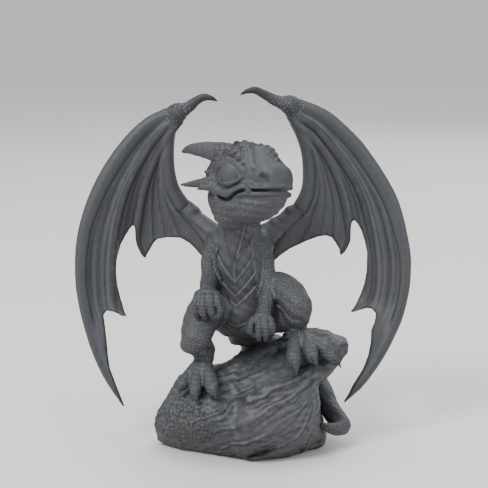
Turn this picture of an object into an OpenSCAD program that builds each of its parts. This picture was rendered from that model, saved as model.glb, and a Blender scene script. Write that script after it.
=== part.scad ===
// Hatchling dragon perched on a rock: a figure kit of separate cast pieces.
// The dragon faces -Y, +X is its left side, and the rock stands on Z = 0.

/* [Rock] */
// Width of the rock where it stands, left to right
rock_w = 46.5; // [43:0.5:52]
// Depth of the rock where it stands, front to back
rock_d = 44; // [41:0.5:50]
// Rounding of the rock's corners
rock_round = 2.4; // [1.6:0.2:3.6]
// Height of the seat that the dragon perches on
seat_h = 27; // [24:0.5:31]
// How far the ledge on the left side stands out past the foot of the rock
ledge_out = 5; // [2:0.5:8]

/* [Trunk] */
// Height of the trunk, from the seat to the collar
trunk_h = 30; // [28:0.5:33]
// Width of the belly
belly_w = 16.5; // [14:0.5:18]
// Depth of the belly, front to back
belly_d = 15; // [13:0.5:17]
// Width of the chest
chest_w = 13.5; // [12:0.5:15]
// Depth of the chest, front to back
chest_d = 12.5; // [11:0.5:14]
// Width of the neck
neck_w = 10.6; // [9:0.2:12]
// Length of the neck above the collar
neck_l = 6.5; // [5:0.5:8]
// How far the chest plates stand out
plate_out = 0.9; // [0.5:0.1:1.3]

// Width of the groove between one chest plate and the next
plate_gap = 0.7; // [0.4:0.1:1]

/* [Head] */
// Length of the muzzle, from the skull's middle to the nose
muzzle_l = 14; // [12.6:0.2:15.4]
// Width of the skull
skull_w = 15.4; // [14:0.2:17]
// Width of the muzzle
muzzle_w = 10.4; // [9:0.2:12]
// Depth of the throat under the skull's middle
throat_d = 10.6; // [9:0.2:12]
// Diameter of an eye
eye_d = 5.8; // [4.6:0.2:6.6]
// How far the head turns to its left
head_turn = 55; // [40:1:70]
// How far the head looks up
head_lift = 13; // [0:1:20]
// How far the head leans over, right side up
head_lean = 9; // [0:1:15]
// Length of a horn
horn_l = 12.4; // [10:0.2:15]
// Diameter of a horn at its root
horn_d = 5.6; // [4.6:0.2:6.4]

/* [Arms] */
// Length of the upper arm
upper_arm_l = 11; // [9.5:0.5:12.5]
// Length of the forearm, to the middle of the fist
forearm_l = 11.5; // [10:0.5:13]
// Diameter of the upper arm
arm_d = 5; // [4.2:0.2:5.8]
// Width of the fist
fist_w = 6.6; // [5.6:0.2:7.4]

/* [Legs] */
// Length of the thigh, from the hip to the knee
thigh_l = 17; // [15:0.5:19]
// Length of the shin, from the knee to the heel
shin_l = 7.8; // [6.6:0.2:9]
// Length of the foot, from the heel to the ball under the toes
foot_l = 5.6; // [4.8:0.2:6.6]
// Diameter of the thigh
thigh_d = 11.4; // [10:0.2:12.6]
// Diameter of the knee
knee_d = 8.6; // [7.6:0.2:9.6]
// Diameter of the ankle
ankle_d = 5.2; // [4.4:0.2:6]
// Diameter of a toe
toe_d = 3.4; // [2.8:0.1:4]
// Length of a toe, from the ball of the foot to the root of its claw
toe_l = 6.6; // [5.6:0.2:7.6]
// Length of a toe's claw
toe_claw_l = 3.8; // [3:0.2:4.6]

/* [Wings] */
// How far a wing reaches out past its elbow
wing_out = 28.2; // [25:0.2:31]
// How far a wing rises above its elbow
wing_rise = 29.2; // [26:0.2:32]
// How far the tip of a wing hangs below its elbow
wing_drop = 49.5; // [44:0.5:54]
// How far the tip of a wing comes forward of its elbow
wing_cup = 12; // [9:0.5:14]
// Length of the upper wing arm, from the shoulder blade to the elbow
wing_arm_l = 13.9; // [12:0.1:16]
// Diameter of the upper wing arm
wing_arm_d = 6; // [5:0.2:7]
// Diameter of the wing's forearm
wing_forearm_d = 3.6; // [3:0.2:4.4]
// Width of the finger along the wing's leading edge
lead_w = 4; // [3.4:0.2:4.8]
// Diameter of the wing's other fingers
finger_d = 2.2; // [1.8:0.1:2.8]
// Thickness of the wing skin
skin_t = 0.9; // [0.7:0.05:1.3]
// Length of the thumb claw at the top of a wing
thumb_l = 13; // [11:0.5:15]

/* [Tail] */
// Diameter of the tail at its root
tail_d = 8.4; // [7:0.2:9.4]
// Diameter of the tail where its two pieces meet
tail_mid_d = 5.4; // [4.6:0.2:6.2]

/* [Pegs] */
// Diameter of the pegs that join the pieces
peg_d = 2.4; // [1.8:0.1:3]
// Length of a peg past the face that it stands on
peg_l = 2.6; // [2:0.1:3.2]
// Gap all round between a peg and its socket
peg_gap = 0.1; // [0.05:0.01:0.2]

/* [Hidden] */
// The pieces that the figure is cast in
// Which piece to build; all shows the figure put together
resin = "#6b7078";

// ---------- anchors that the pieces share ----------
// A point of the rock, as shares of half its width, half its depth and the height of the seat
function on_rock(f) = [f[0] * rock_w / 2, f[1] * rock_d / 2, f[2] * seat_h];
// A point of the trunk past the seat, as shares of the belly's width and depth and of the trunk's height
function on_trunk(f) = seat + [f[0] * belly_w, f[1] * belly_d, f[2] * trunk_h];
seat = on_rock([0.043, 0.18, 1]);
collar = seat + trunk_h * [-0.033, -0.12, 1];
neck_top = collar + neck_l * [0.11, -0.31, 1];
skull = neck_top + skull_w * [-0.097, -0.286, 0.578];
head_turned = [-head_lift, head_lean, head_turn];
// The chest faces a little to the right of straight ahead
chest_turn = -12;

left_shoulder = collar + [0.4 * chest_w, 0, -0.11 * trunk_h];
right_shoulder = collar + [-0.5 * chest_w, 0, -0.11 * trunk_h];
left_elbow = left_shoulder + upper_arm_l * unit([0.09, -0.24, -1]);
right_elbow = right_shoulder + upper_arm_l * unit([-0.27, -0.31, -0.91]);
left_fist = left_elbow + forearm_l * unit([-0.11, -0.76, -0.64]);
right_fist = right_elbow + forearm_l * unit([0.05, -0.97, -0.24]);

left_hip = on_trunk([0.24, 0.05, 0.3]);
right_hip = on_trunk([-0.41, -0.2, 0.28]);
left_knee = left_hip + thigh_l * unit([0.556, -0.812, 0.187]);
right_knee = right_hip + thigh_l * unit([-0.39, -0.9, -0.22]);
left_heel = left_knee + shin_l * unit([0.04, 0.3, -0.95]);
right_heel = right_knee + shin_l * unit([0.2, 0.7, -0.68]);
left_foot = left_heel + foot_l * unit([0.06, -0.82, -0.57]);
right_foot = right_heel + foot_l * unit([0.06, -0.6, -0.78]);
// How far down a foot's toes slope as they reach ahead
left_slope = 0.4;
right_slope = 0.85;

left_wing_root = collar + [0.27 * chest_w, 0.37 * chest_d, -0.1 * trunk_h];
right_wing_root = collar + [-0.34 * chest_w, 0.37 * chest_d, -0.1 * trunk_h];
left_wing_elbow = left_wing_root + wing_arm_l * unit([0.81, 0.3, 0.53]);
right_wing_elbow = right_wing_root + wing_arm_l * unit([-0.79, 0.3, 0.57]);

tail_root = on_trunk([0.07, 0.44, 0.1]);
tail_join = on_rock([0.56, 1.02, 0.24]);

// ---------- vectors and curves ----------
function unit(v) = v / norm(v);
function place(p) = [p[0], p[1], p[2]];
// One section of a sweep: its centre, its full width and its full depth
function row(p, w, d) = [p[0], p[1], p[2], w / 2, d / 2];
function round_row(p, d) = row(p, d, d);

// A point of the Catmull-Rom curve between knots i and i + 1
function curve_point(p, i, t) =
    let (a = p[max(i - 1, 0)], b = p[i], c = p[i + 1], d = p[min(i + 2, len(p) - 1)])
    0.5 * (2 * b + (c - a) * t + (2 * a - 5 * b + 4 * c - d) * t * t + (3 * b - a - 3 * c + d) * t * t * t);
function curve(p, steps) = concat(
    [for (i = [0:len(p) - 2]) for (s = [0:steps - 1]) curve_point(p, i, s / steps)],
    [p[len(p) - 1]]);
// The curve at u, from 0 at its first knot to 1 at its last
function curve_at(p, u) =
    let (s = min(u, 0.9999) * (len(p) - 1), i = floor(s)) curve_point(p, i, s - i);

function heading(rows, i) =
    unit(place(rows[min(i + 1, len(rows) - 1)]) - place(rows[max(i - 1, 0)]));
function end_radius(r) = (r[3] + r[4]) / 2;
// The oval ring of a section; lean runs from -90 to 90 degrees over a rounded end and is 0 between the ends
function ring(r, ahead, up, lean, sides) =
    let (side = unit(cross(ahead, up)), top = cross(side, ahead),
         centre = place(r) + ahead * end_radius(r) * sin(lean))
    [for (k = [0:sides - 1])
        centre + cos(lean) * (r[3] * cos(360 * k / sides) * side + r[4] * sin(360 * k / sides) * top)];

// A solid of oval sections along the rows, with rounded ends
module sweep(rows, up = [0, -1, 0], sides = 10, steps = 3, cap_leans = [35, 65]) {
    r = curve(rows, steps);
    n = len(r) - 1;
    first = heading(r, 0);
    last = heading(r, n);
    rings = concat(
        [for (j = [len(cap_leans) - 1:-1:0]) ring(r[0], first, up, -cap_leans[j], sides)],
        [for (i = [0:n]) ring(r[i], heading(r, i), up, 0, sides)],
        [for (lean = cap_leans) ring(r[n], last, up, lean, sides)]);
    top = len(rings) - 1;
    poles = [place(r[0]) - first * end_radius(r[0]), place(r[n]) + last * end_radius(r[n])];
    pole = len(rings) * sides;
    walls = [for (i = [0:top - 1]) for (k = [0:sides - 1])
        let (a = i * sides + k, b = i * sides + (k + 1) % sides)
        each [[a, b, a + sides], [b, b + sides, a + sides]]];
    ends = [for (k = [0:sides - 1]) each [
        [pole, (k + 1) % sides, k],
        [pole + 1, top * sides + k, top * sides + (k + 1) % sides]]];
    polyhedron(concat([for (one = rings) each one], poles), concat(walls, ends));
}
// A curved sheet between two curves that start together: u runs along them, v from one to the other.
// It laps past both curves by lap. sag bows it backwards, and bite cuts the scallop of its free edge.
module skin_sheet(from, to, side, sag, bite, columns = 7, rows = 4, lap = 0.03) {
    function bow(v) = sin(180 * max(0, min(1, v)));
    function at(u, v) =
        let (k = u * (1 - bite * pow(bow(v), 0.8)), a = place(curve_at(from, k)), b = place(curve_at(to, k)))
        a + (b - a) * v + [0, sag * bow(v) * sin(150 * u), 0];
    start = 0.06;
    u = [for (i = [0:columns]) start + (0.98 - start) * i / columns];
    v = [for (j = [0:rows]) -lap + (1 + 2 * lap) * j / rows];
    w = rows + 1;
    m = (columns + 1) * w;
    front = [for (a = u) for (b = v) at(a, b) + [0, -skin_t / 2, 0]];
    back = [for (a = u) for (b = v) at(a, b) + [0, skin_t / 2, 0]];
    function quad(a, b, c, d) = [[a, b, c], [a, c, d]];
    faces = concat(
        [for (i = [0:columns - 1]) for (j = [0:rows - 1]) let (a = i * w + j)
            each quad(a, a + 1, a + w + 1, a + w)],
        [for (i = [0:columns - 1]) for (j = [0:rows - 1]) let (a = m + i * w + j)
            each quad(a, a + w, a + w + 1, a + 1)],
        [for (i = [0:columns - 1]) each concat(
            quad(i * w, i * w + w, m + i * w + w, m + i * w),
            quad(i * w + rows + w, i * w + rows, m + i * w + rows, m + i * w + rows + w))],
        [for (j = [0:rows - 1]) each concat(
            quad(j + 1, j, m + j, m + j + 1),
            quad(columns * w + j, columns * w + j + 1, m + columns * w + j + 1, m + columns * w + j))]);
    // The two wings run opposite ways round, so one of them turns its faces over
    polyhedron(concat(front, back), side < 0 ? faces : [for (f = faces) [f[2], f[1], f[0]]]);
}
module ball(at, d, sides = 8) { translate(at) sphere(d = d, $fn = sides); }
// A tapered strand with round ends, through gently turning [point, diameter] pairs
module strand(stops, sides = 6, up = [0, 0, 1]) {
    sweep([for (s = stops) round_row(s[0], s[1])], up = up, sides = sides, steps = 1, cap_leans = [45]);
}
// Straight tapered rods with round ends, joined at sharp bends
module rod(stops, sides = 8) {
    for (i = [0:len(stops) - 2]) hull() {
        ball(stops[i][0], stops[i][1], sides);
        ball(stops[i + 1][0], stops[i + 1][1], sides);
    }
}
// A curved pointed claw or spike from root to tip, bowed by lift at its middle
module spike(root, tip, d, lift, sides = 5) {
    middle = (root + tip) / 2 + lift;
    sweep([round_row(root, d), round_row(middle, d * 0.72), round_row(tip, d * 0.16)],
        up = cross(tip - root, [0.3, 0.2, 1]), sides = sides, steps = 1, cap_leans = []);
}
// A peg that starts inside its own piece and stands peg_l past the face at this point
module peg(at, way, gap = 0) {
    length = 2 * peg_l;
    tilt = acos(unit(way)[2]);
    turn = atan2(way[1], way[0]);
    translate(at) rotate([0, tilt, turn]) translate([0, 0, -length + peg_l])
        cylinder(d = peg_d + 2 * gap, h = length + gap, $fn = 24);
}
module socket(at, way) { peg(at, way, peg_gap); }
module mirrored() {
    children();
    mirror([1, 0, 0]) children();
}

// ---------- rock ----------
// A boulder: the hull of rounded corners
module boulder(corners, d = rock_round) {
    hull() for (c = corners) ball(c, d, 4);
}
module rock_body() {
    out = 1 + 2 * ledge_out / rock_w;
    ledge_d = 3;
    intersection() {
        union() {
            // Low shoulder under the right foot, with a ridge that falls away to the right side
            boulder([for (f = [
                [-1, -0.34, 0], [-0.88, -0.76, 0], [-0.45, -0.98, 0], [0.2, -0.96, 0], [-0.94, 0.34, 0],
                [-0.5, 0.84, 0], [0.3, 0.8, 0], [-0.95, -0.23, 0.38], [-0.88, -0.2, 0.46],
                [-0.72, -0.23, 0.6],
                [-0.56, -0.18, 0.76], [-0.72, 0.3, 0.46], [-0.78, -0.66, 0.42], [-0.66, -0.74, 0.5],
                [-0.5, -0.82, 0.52], [-0.26, -0.84, 0.55], [-0.44, -0.5, 0.75], [-0.04, -0.36, 0.87],
                [-0.17, 0.45, 0.88], [0.17, 0.18, 0.92]]) on_rock(f)]);
            // The block under the seat and the left foot
            boulder([for (f = [
                [-0.35, 0.9, 0], [0.42, 0.98, 0], [0.88, 0.5, 0], [0.92, -0.28, 0], [0.7, -0.84, 0],
                [-0.05, -1, 0], [0.02, -0.86, 0.6], [0.3, -0.88, 0.72], [0.5, -0.84, 0.82],
                [0.76, -0.72, 0.84], [0.76, 0.05, 0.93], [0.84, 0.3, 0.62], [0.3, 0.5, 0.95],
                [-0.2, 0.36, 0.9], [0.34, -0.41, 0.9], [-0.13, -0.36, 0.86]]) on_rock(f)]);
            // The ledge that stands out on the left side
            boulder([for (f = [
                [0.46, -0.72, 0.82], [0.62, -0.5, 0.93], [0.92, -0.58, 0.88], [out - 0.03, -0.32, 0.9],
                [out - 0.05, 0, 1.04], [0.9, 0.23, 1.1], [0.52, 0.23, 1.08], [0.42, -0.2, 0.97],
                [0.9, 0.27, 0.94],
                [0.6, -0.09, 0.63], [0.64, -0.45, 0.63]]) on_rock(f)], ledge_d);
            // The slab along the front, rising to the left side
            boulder([for (f = [
                [-0.62, -0.98, 0], [0.4, -1.06, 0], [0.78, -0.86, 0], [-0.6, -0.94, 0.09], [0.34, -1, 0.26],
                [0.74, -0.8, 0.38], [-0.3, -0.6, 0.22], [0.5, -0.5, 0.48]]) on_rock(f)], 0.8 * rock_round);
            // A weathered step higher up, parallel to the slab
            boulder([for (f = [
                [-0.74, -0.82, 0.24], [0.02, -0.98, 0.41], [0.36, -0.92, 0.57], [-0.84, -0.5, 0.3],
                [-0.66, -0.74, 0.37], [0, -0.5, 0.56], [0.3, -0.4, 0.67]]) on_rock(f)], 0.8 * rock_round);
            // A low step at the back, under the tail
            boulder([for (f = [
                [-0.7, 0.72, 0], [0, 1, 0], [0.6, 0.86, 0], [0.92, 0.2, 0], [-0.5, 0.6, 0.19],
                [0.5, 0.7, 0.15], [0, 0.4, 0.3]]) on_rock(f)], 0.8 * rock_round);
        }
        translate([-2 * rock_w, -2 * rock_d, 0]) cube([4 * rock_w, 4 * rock_d, 3 * seat_h]);
    }
}
module rock_base() {
    color(resin) difference() {
        rock_body();
        socket(foot_seat(left_foot), [0, 0, -1]);
        socket(foot_seat(right_foot), [0, 0, -1]);
        socket(belly_seat, [0, 0, -1]);
    }
}

// ---------- trunk ----------
belly_seat = seat + [0, 0, -0.03 * trunk_h];
function trunk_rows(grow) = let (g = 2 * grow) [
    row(on_trunk([0, 0.06, 0.06]), belly_w * 0.62 + g, belly_d * 0.64 + g),
    row(on_trunk([-0.02, -0.03, 0.17]), belly_w * 0.92 + g, belly_d * 0.92 + g),
    row(on_trunk([-0.05, -0.13, 0.33]), belly_w + g, belly_d + g),
    row(on_trunk([-0.09, -0.19, 0.55]), (belly_w + chest_w) / 2 + g, (belly_d + chest_d) / 2 + g),
    row(collar + trunk_h * [-0.03, 0, -0.16], chest_w + g, chest_d + g),
    row(collar + trunk_h * [-0.03, -0.01, 0], neck_w * 1.08 + g, neck_w * 1.02 + g),
    row(neck_top + neck_l * [-0.2, 0.1, -0.3], neck_w + g, neck_w * 0.98 + g),
    row(neck_top + neck_l * [-0.2, -0.22, 0.4], neck_w * 0.96 + g, neck_w * 0.94 + g)];
module trunk(grow = 0) { sweep(trunk_rows(grow), sides = 12, steps = 1, cap_leans = [50]); }
// One V-shaped belly plate: the swollen trunk inside a chevron that points down
module chest_plate(tip, top, half, rise, grow) {
    intersection() {
        trunk(grow);
        translate([collar[0] - 0.03 * belly_w, seat[1], tip]) rotate([90, 0, chest_turn])
            linear_extrude(height = 2 * belly_d) polygon([
                [0, 0], [half, rise * half], [half, rise * half + top], [0, top], [-half, rise * half + top],
                [-half, rise * half]]);
    }
}
// The shoulder blades that carry the wing arms
module shoulder_blades() {
    for (end = [[left_shoulder, left_wing_root, 1], [right_shoulder, right_wing_root, -1]])
        rod([[end[0] + [-0.24 * arm_d * end[2], 0.3 * arm_d, 0.1 * arm_d], arm_d], [end[1],
            wing_arm_d * 1.06],
            [collar + [0, 0.2 * chest_d, -0.15 * trunk_h], wing_arm_d * 1.16]], 6);
}
module torso_skin() {
    trunk();
    shoulder_blades();
}
// Each plate: its tip's share of the trunk's height, its half width as a share of the belly's, its slope
plates = [[0.2, 0.16, 0.7], [0.4, 0.25, 0.85], [0.49, 0.27, 0.9], [0.59, 0.27, 1], [0.8, 0.26, 1.25]];
// The plates step outwards like tiles, with a groove under each one's edge; the last climbs the neck
module chest_shield(grow = 0) {
    last = len(plates) - 1;
    for (i = [0:last])
        let (p = plates[i], tip = seat[2] + p[0] * trunk_h,
            end = i == last ? neck_top[2] : seat[2] + plates[i + 1][0] * trunk_h)
            chest_plate(tip, end - tip - plate_gap, p[1] * belly_w, p[2],
                plate_out * (0.8 + 0.2 * i / last) + grow);
}
module torso() {
    color(resin) difference() {
        union() {
            torso_skin();
            chest_shield();
            // Rump, where the tail starts
            rod([[on_trunk([0, 0.1, 0.17]), 0.6 * belly_w], [tail_root, tail_d]], 7);
            peg(belly_seat, [0, 0, -1]);
        }
        rock_body();
        socket(left_shoulder, arm_way(1));
        socket(right_shoulder, arm_way(-1));
        socket(hip_seat(left_hip, 1), leg_way(1));
        socket(hip_seat(right_hip, -1), leg_way(-1));
        socket(wing_seat(left_wing_root, 1), wing_way(1));
        socket(wing_seat(right_wing_root, -1), wing_way(-1));
        socket(tail_seat, tail_way);
    }
}
// Where each limb's peg stands and the way that it points into the trunk
function arm_way(side) = [-side, 0.2, -0.3];
function leg_way(side) = [-side, 0.2, 0];
function hip_seat(hip, side) = hip + [0.25 * peg_l * side, 0, 0];
function wing_way(side) = [-side, -1, -0.8];
function wing_seat(root, side) = root + 0.24 * wing_arm_d * [side, 1, 1];
tail_way = [0, -1, 0.3];
tail_seat = tail_root + tail_d * [0, 0.43, -0.07];
function foot_seat(foot) = foot + [0, 0, -0.27 * ankle_d];

// ---------- head, modelled facing -Y about the middle of the skull ----------
module head_frame() { translate(skull) rotate(head_turned) children(); }
// A point of the face: out to its left and up as shares of the skull's width, ahead as a share of the muzzle
function face(f) = [f[0] * skull_w, -f[1] * muzzle_l, f[2] * skull_w];
// A point of the jaw: as face, but down as a share of the throat's depth
function jaw(f) = [f[0] * skull_w, -f[1] * muzzle_l, -f[2] * throat_d];
module skull_shape() {
    sweep([
        row(face([0, -0.46, 0.03]), skull_w * 0.56, skull_w * 0.6),
        row(face([0, -0.22, 0.1]), skull_w * 0.92, skull_w * 0.86),
        row(face([0, 0.07, 0.1]), skull_w * 0.97, skull_w * 0.93),
        row(face([0, 0.3, 0.09]), skull_w * 0.91, skull_w * 0.89),
        row(face([0, 0.58, 0.02]), 0.4 * skull_w + 0.5 * muzzle_w, skull_w * 0.72),
        row(face([0, 0.8, -0.06]), muzzle_w * 0.93, skull_w * 0.52)],
        up = [0, 0, 1], sides = 12, steps = 1, cap_leans = [35, 65]);
}
module jaw_shape() {
    sweep([
        row(jaw([0, -0.36, 0.43]), skull_w * 0.66, throat_d * 0.7),
        row(jaw([0, -0.07, 0.58]), skull_w * 0.9, throat_d),
        row(jaw([0, 0.22, 0.64]), skull_w * 0.91, throat_d * 1.04),
        row(jaw([0, 0.5, 0.66]), skull_w * 0.8, throat_d * 0.84),
        row(jaw([0, 0.72, 0.63]), muzzle_w * 1.02, throat_d * 0.6),
        row(jaw([0, 0.88, 0.6]), muzzle_w * 0.82, throat_d * 0.34)],
        up = [0, 0, 1], sides = 12, steps = 1, cap_leans = [45]);
}
eye_at = face([0.3, 0.1, 0.04]);
horn_root = face([0.34, -0.04, 0.39]);
horn_way = unit([0.09, 0.95, 0.3]);
boss_d = 1.16 * horn_d;
module eye_socket() {
    translate(eye_at + [0.2 * skull_w, 0, 0]) scale([0.62, 1.18, 0.94]) ball([0, 0, 0], eye_d, 8);
}
// The lids: an almond ring lying on the side of the face, longer ahead and pointed at its front corner
module eye_ring() {
    turns = 9;
    tilt = -8;
    sweep([for (i = [0:turns]) let (a = 360 * i / turns, point = cos(a) > 0.9 ? 1.24 : 1.08)
        round_row(eye_at + [0.115 * skull_w - 0.03 * skull_w * max(0, cos(a)), 0, 0]
            + eye_d / 2 * [0, -point * cos(a + tilt) - 0.1, 0.92 * sin(a + tilt)], 0.2 * eye_d)],
        up = [1, 0, 0], sides = 4, steps = 1, cap_leans = [45]);
}
module face_side() {
    translate(eye_at) sphere(d = eye_d, $fn = 10);
    eye_ring();
    // Heavy knobbed brow over the eye, running down to the nostril
    strand([[face([0.37, -0.14, 0.33]), 0.2 * skull_w], [face([0.4, 0.1, 0.32]), 0.2 * skull_w],
        [face([0.42, 0.3, 0.24]), 0.16 * skull_w], [face([0.41, 0.46, 0.1]), 0.12 * skull_w],
        [face([0.35, 0.66, 0.01]), 0.1 * skull_w]]);
    strand([[face([0.12, 0.1, 0.53]), 0.2 * skull_w], [face([0.15, 0.36, 0.43]), 0.15 * skull_w],
        [face([0.13, 0.66, 0.28]), 0.12 * skull_w]]);
    // Cheek, from the corner of the mouth back to the two spikes
    strand([[face([0.35, 0.42, -0.165]), 0.13 * skull_w], [face([0.4, 0.04, -0.19]), 0.17 * skull_w],
        [face([0.42, -0.28, -0.11]), 0.2 * skull_w]]);
    spike(face([0.44, -0.36, -0.04]), face([0.58, -0.86, -0.02]), 0.2 * skull_w, [0, 0, -0.03 * skull_w]);
    spike(face([0.44, -0.22, -0.16]), face([0.56, -0.56, -0.15]), 0.15 * skull_w, [0, 0, -0.02 * skull_w]);
    // Lower lip
    strand([[jaw([0.43, -0.04, 0.66]), 0.18 * throat_d], [jaw([0.42, 0.3, 0.55]), 0.18 * throat_d],
        [jaw([0.36, 0.66, 0.54]), 0.16 * throat_d], [jaw([0.24, 0.92, 0.53]), 0.13 * throat_d]]);
    // Boss for the horn to sit on
    ball(horn_root - 0.2 * horn_d * horn_way, boss_d, 8);
}
// The mouth: a flat slot round the muzzle that dips under the cheeks
module mouth() {
    depth = 0.16 * skull_w;
    flat = 0.3;
    mirrored() scale([1, 1, flat])
        strand([for (f = [[0, 1.16, -0.32], [0.22, 1.06, -0.32], [0.34, 0.82, -0.32], [0.385, 0.57, -0.315],
            [0.45, 0.29, -0.32], [0.47, 0.02, -0.39]]) [face([f[0], f[1], f[2] / flat]), depth]]);
}
// The tooth that stands up over the lip
module tooth() {
    spike(jaw([0.415, 0.44, 0.56]), jaw([0.455, 0.42, 0.27]), 0.09 * skull_w, [0, 0, 0]);
}
module nostril() {
    translate([0.47 * muzzle_w, -0.78 * muzzle_l, -0.05 * skull_w]) rotate([20, 0, -20])
        scale([1, 1.6, 0.8]) ball([0, 0, 0], 0.09 * skull_w, 6);
}
module head_solid() {
    knobs = 4;
    difference() {
        skull_shape();
        mirrored() eye_socket();
    }
    jaw_shape();
    // Solid behind the mouth
    strand([[face([0, -0.1, -0.22]), 0.78 * skull_w], [face([0, 0.56, -0.27]), 0.76 * muzzle_w]]);
    mirrored() face_side();
    // Knobs along the bridge of the nose
    for (i = [0:knobs - 1])
        ball(face([0, 0.36 + 0.17 * i, 0.45 - 0.035 * i - 0.016 * i * i]), (0.16 - 0.012 * i) * skull_w, 6);
}
module head() {
    color(resin) difference() {
        head_frame() {
            mirrored() tooth();
            difference() {
                head_solid();
                mirrored() nostril();
                mouth();
                mirrored() horn_seat();
            }
        }
        trunk(peg_gap);
        chest_shield(peg_gap);
    }
}
module horn_seat() { peg(horn_root + 0.16 * horn_d * horn_way, -horn_way, peg_gap); }
module horn_shape() {
    sweep([
        round_row(horn_root + 0.2 * horn_d * horn_way, horn_d),
        round_row(horn_root + horn_l * [0.03, 0.28, 0.11], horn_d * 0.86),
        round_row(horn_root + horn_l * [0.06, 0.58, 0.19], horn_d * 0.58),
        round_row(horn_root + horn_l * [0.1, 0.96, 0.2], horn_d * 0.16)],
        up = [0, 0, 1], sides = 8, steps = 2, cap_leans = []);
    peg(horn_root + 0.16 * horn_d * horn_way, -horn_way);
}
module horn(side) {
    color(resin) head_frame() mirror([side > 0 ? 0 : 1, 0, 0]) difference() {
        horn_shape();
        difference() {
            union() {
                skull_shape();
                ball(horn_root - 0.2 * horn_d * horn_way, boss_d, 8);
            }
            horn_seat();
        }
    }
}
module left_horn() { horn(1); }
module right_horn() { horn(-1); }

// ---------- arms ----------
// A loose fist hanging from the wrist: the palm, four curled fingers and a thumb
module fist(at, side, drop) {
    fingers = 4;
    pitch = fist_w / fingers;
    f = fist_w;
    translate(at) rotate([drop, 0, -8 * side]) {
        hull() {
            for (end = [-1, 1]) ball([end * 0.27 * f, 0, 0.12 * f], 0.55 * f, 6);
            ball([0, 0.24 * f, 0.36 * f], 0.6 * f, 6);
        }
        for (i = [0:fingers - 1]) let (x = (i - 1.5) * pitch, rise = 0.045 * f * abs(i - 1.5))
            strand([[[x, -0.08 * f, 0.16 * f], 0.34 * f], [[x * 1.08, -0.31 * f, -0.22 * f + rise],
                0.25 * f],
                [[x, -0.16 * f, -0.58 * f + rise], 0.22 * f]], 5, [1, 0, 0]);
        strand([[[-0.44 * side * f, 0.06 * f, 0.15 * f], 0.3 * f],
            [[-0.52 * side * f, -0.14 * f, -0.22 * f], 0.24 * f]],
            5, [1, 0, 0]);
    }
}
module arm_shape(shoulder, elbow, hand, side) {
    sweep([
        round_row(shoulder, arm_d * 1.16), round_row((shoulder + elbow) / 2, arm_d),
        round_row(elbow, arm_d * 0.94), round_row((elbow + hand) / 2 + [0, 0, 0.03 * forearm_l],
        arm_d * 0.92),
        round_row(hand + 0.16 * (elbow - hand), arm_d * 0.78)],
        up = [1, 0.1, 0], sides = 8, steps = 2, cap_leans = [50]);
    // The left hand hangs and the right hand is laid on the thigh
    fist(hand, side, side > 0 ? 10 : -24);
}
module left_arm_shape() { arm_shape(left_shoulder, left_elbow, left_fist, 1); }
module right_arm_shape() { arm_shape(right_shoulder, right_elbow, right_fist, -1); }
module left_arm() {
    color(resin) {
        difference() { left_arm_shape(); torso_skin(); left_leg_shape(); }
        peg(left_shoulder, arm_way(1));
    }
}
module right_arm() {
    color(resin) {
        difference() { right_arm_shape(); torso_skin(); right_leg_shape(); }
        peg(right_shoulder, arm_way(-1));
    }
}

// ---------- legs ----------
// A toe that heads turn degrees to the left of straight ahead: a knuckle, its pad and a hooked claw
module toe(foot, turn, slope) {
    way = unit([sin(turn), -cos(turn), -slope]);
    flat = [sin(turn), -cos(turn), 0];
    knuckle = foot + 0.5 * toe_l * way + [0, 0, 0.12 * toe_l];
    end = foot + toe_l * way;
    strand([[foot + 0.1 * toe_l * way, toe_d * 1.04], [knuckle, toe_d * 0.98], [end, toe_d]], 6);
    spike(end + 0.1 * toe_d * flat, end + toe_claw_l * unit(flat * 0.62 - [0, 0, 1]), toe_d * 0.78,
        0.24 * toe_claw_l * (flat + [0, 0, 0.3]));
}
module leg_shape(hip, knee, heel, foot, turns, slope) {
    sweep([
        round_row(hip, thigh_d * 1.06),
        round_row(hip + 0.4 * (knee - hip) + [0, 0, 0.13 * thigh_l], thigh_d * 0.96),
        round_row(hip + 0.76 * (knee - hip) + [0, 0, 0.1 * thigh_l], (thigh_d + knee_d) * 0.45),
        round_row(knee, knee_d * 0.84)],
        up = [0, 0, 1], sides = 10, steps = 2, cap_leans = [50]);
    sweep([
        round_row(knee + 0.1 * shin_l * [0, 1, -1], knee_d * 0.8),
        round_row((knee + heel) / 2, ankle_d * 1.04),
        round_row(heel, ankle_d * 0.9)],
        up = [1, 0, 0], sides = 8, steps = 2, cap_leans = [50]);
    sweep([
        round_row(heel, ankle_d * 0.9), row(foot, ankle_d * 1.2, ankle_d * 0.9)],
        up = [0, -1, 0], sides = 8, steps = 1, cap_leans = [50]);
    for (turn = turns) toe(foot + 0.2 * toe_d * [sin(turn), 0, 0], turn, slope);
}
module left_leg_shape() { leg_shape(left_hip, left_knee, left_heel, left_foot, [-18, 32, 78], left_slope); }
module right_leg_shape() { leg_shape(right_hip, right_knee, right_heel, right_foot, [-62, -15, 27],
    right_slope); }
module left_leg() {
    color(resin) {
        difference() { left_leg_shape(); torso_skin(); rock_body(); }
        peg(hip_seat(left_hip, 1), leg_way(1));
        peg(foot_seat(left_foot), [0, 0, -1]);
    }
}
module right_leg() {
    color(resin) {
        difference() { right_leg_shape(); torso_skin(); rock_body(); }
        peg(hip_seat(right_hip, -1), leg_way(-1));
        peg(foot_seat(right_foot), [0, 0, -1]);
    }
}

// ---------- wings ----------
// A point of a wing past its elbow e: out, ahead and up as shares of the wing's own sizes
function on_wing(e, side, f) =
    e + [side * f[0] * wing_out, -f[1] * wing_cup, f[2] * (f[2] > 0 ? wing_rise : wing_drop)];
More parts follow.
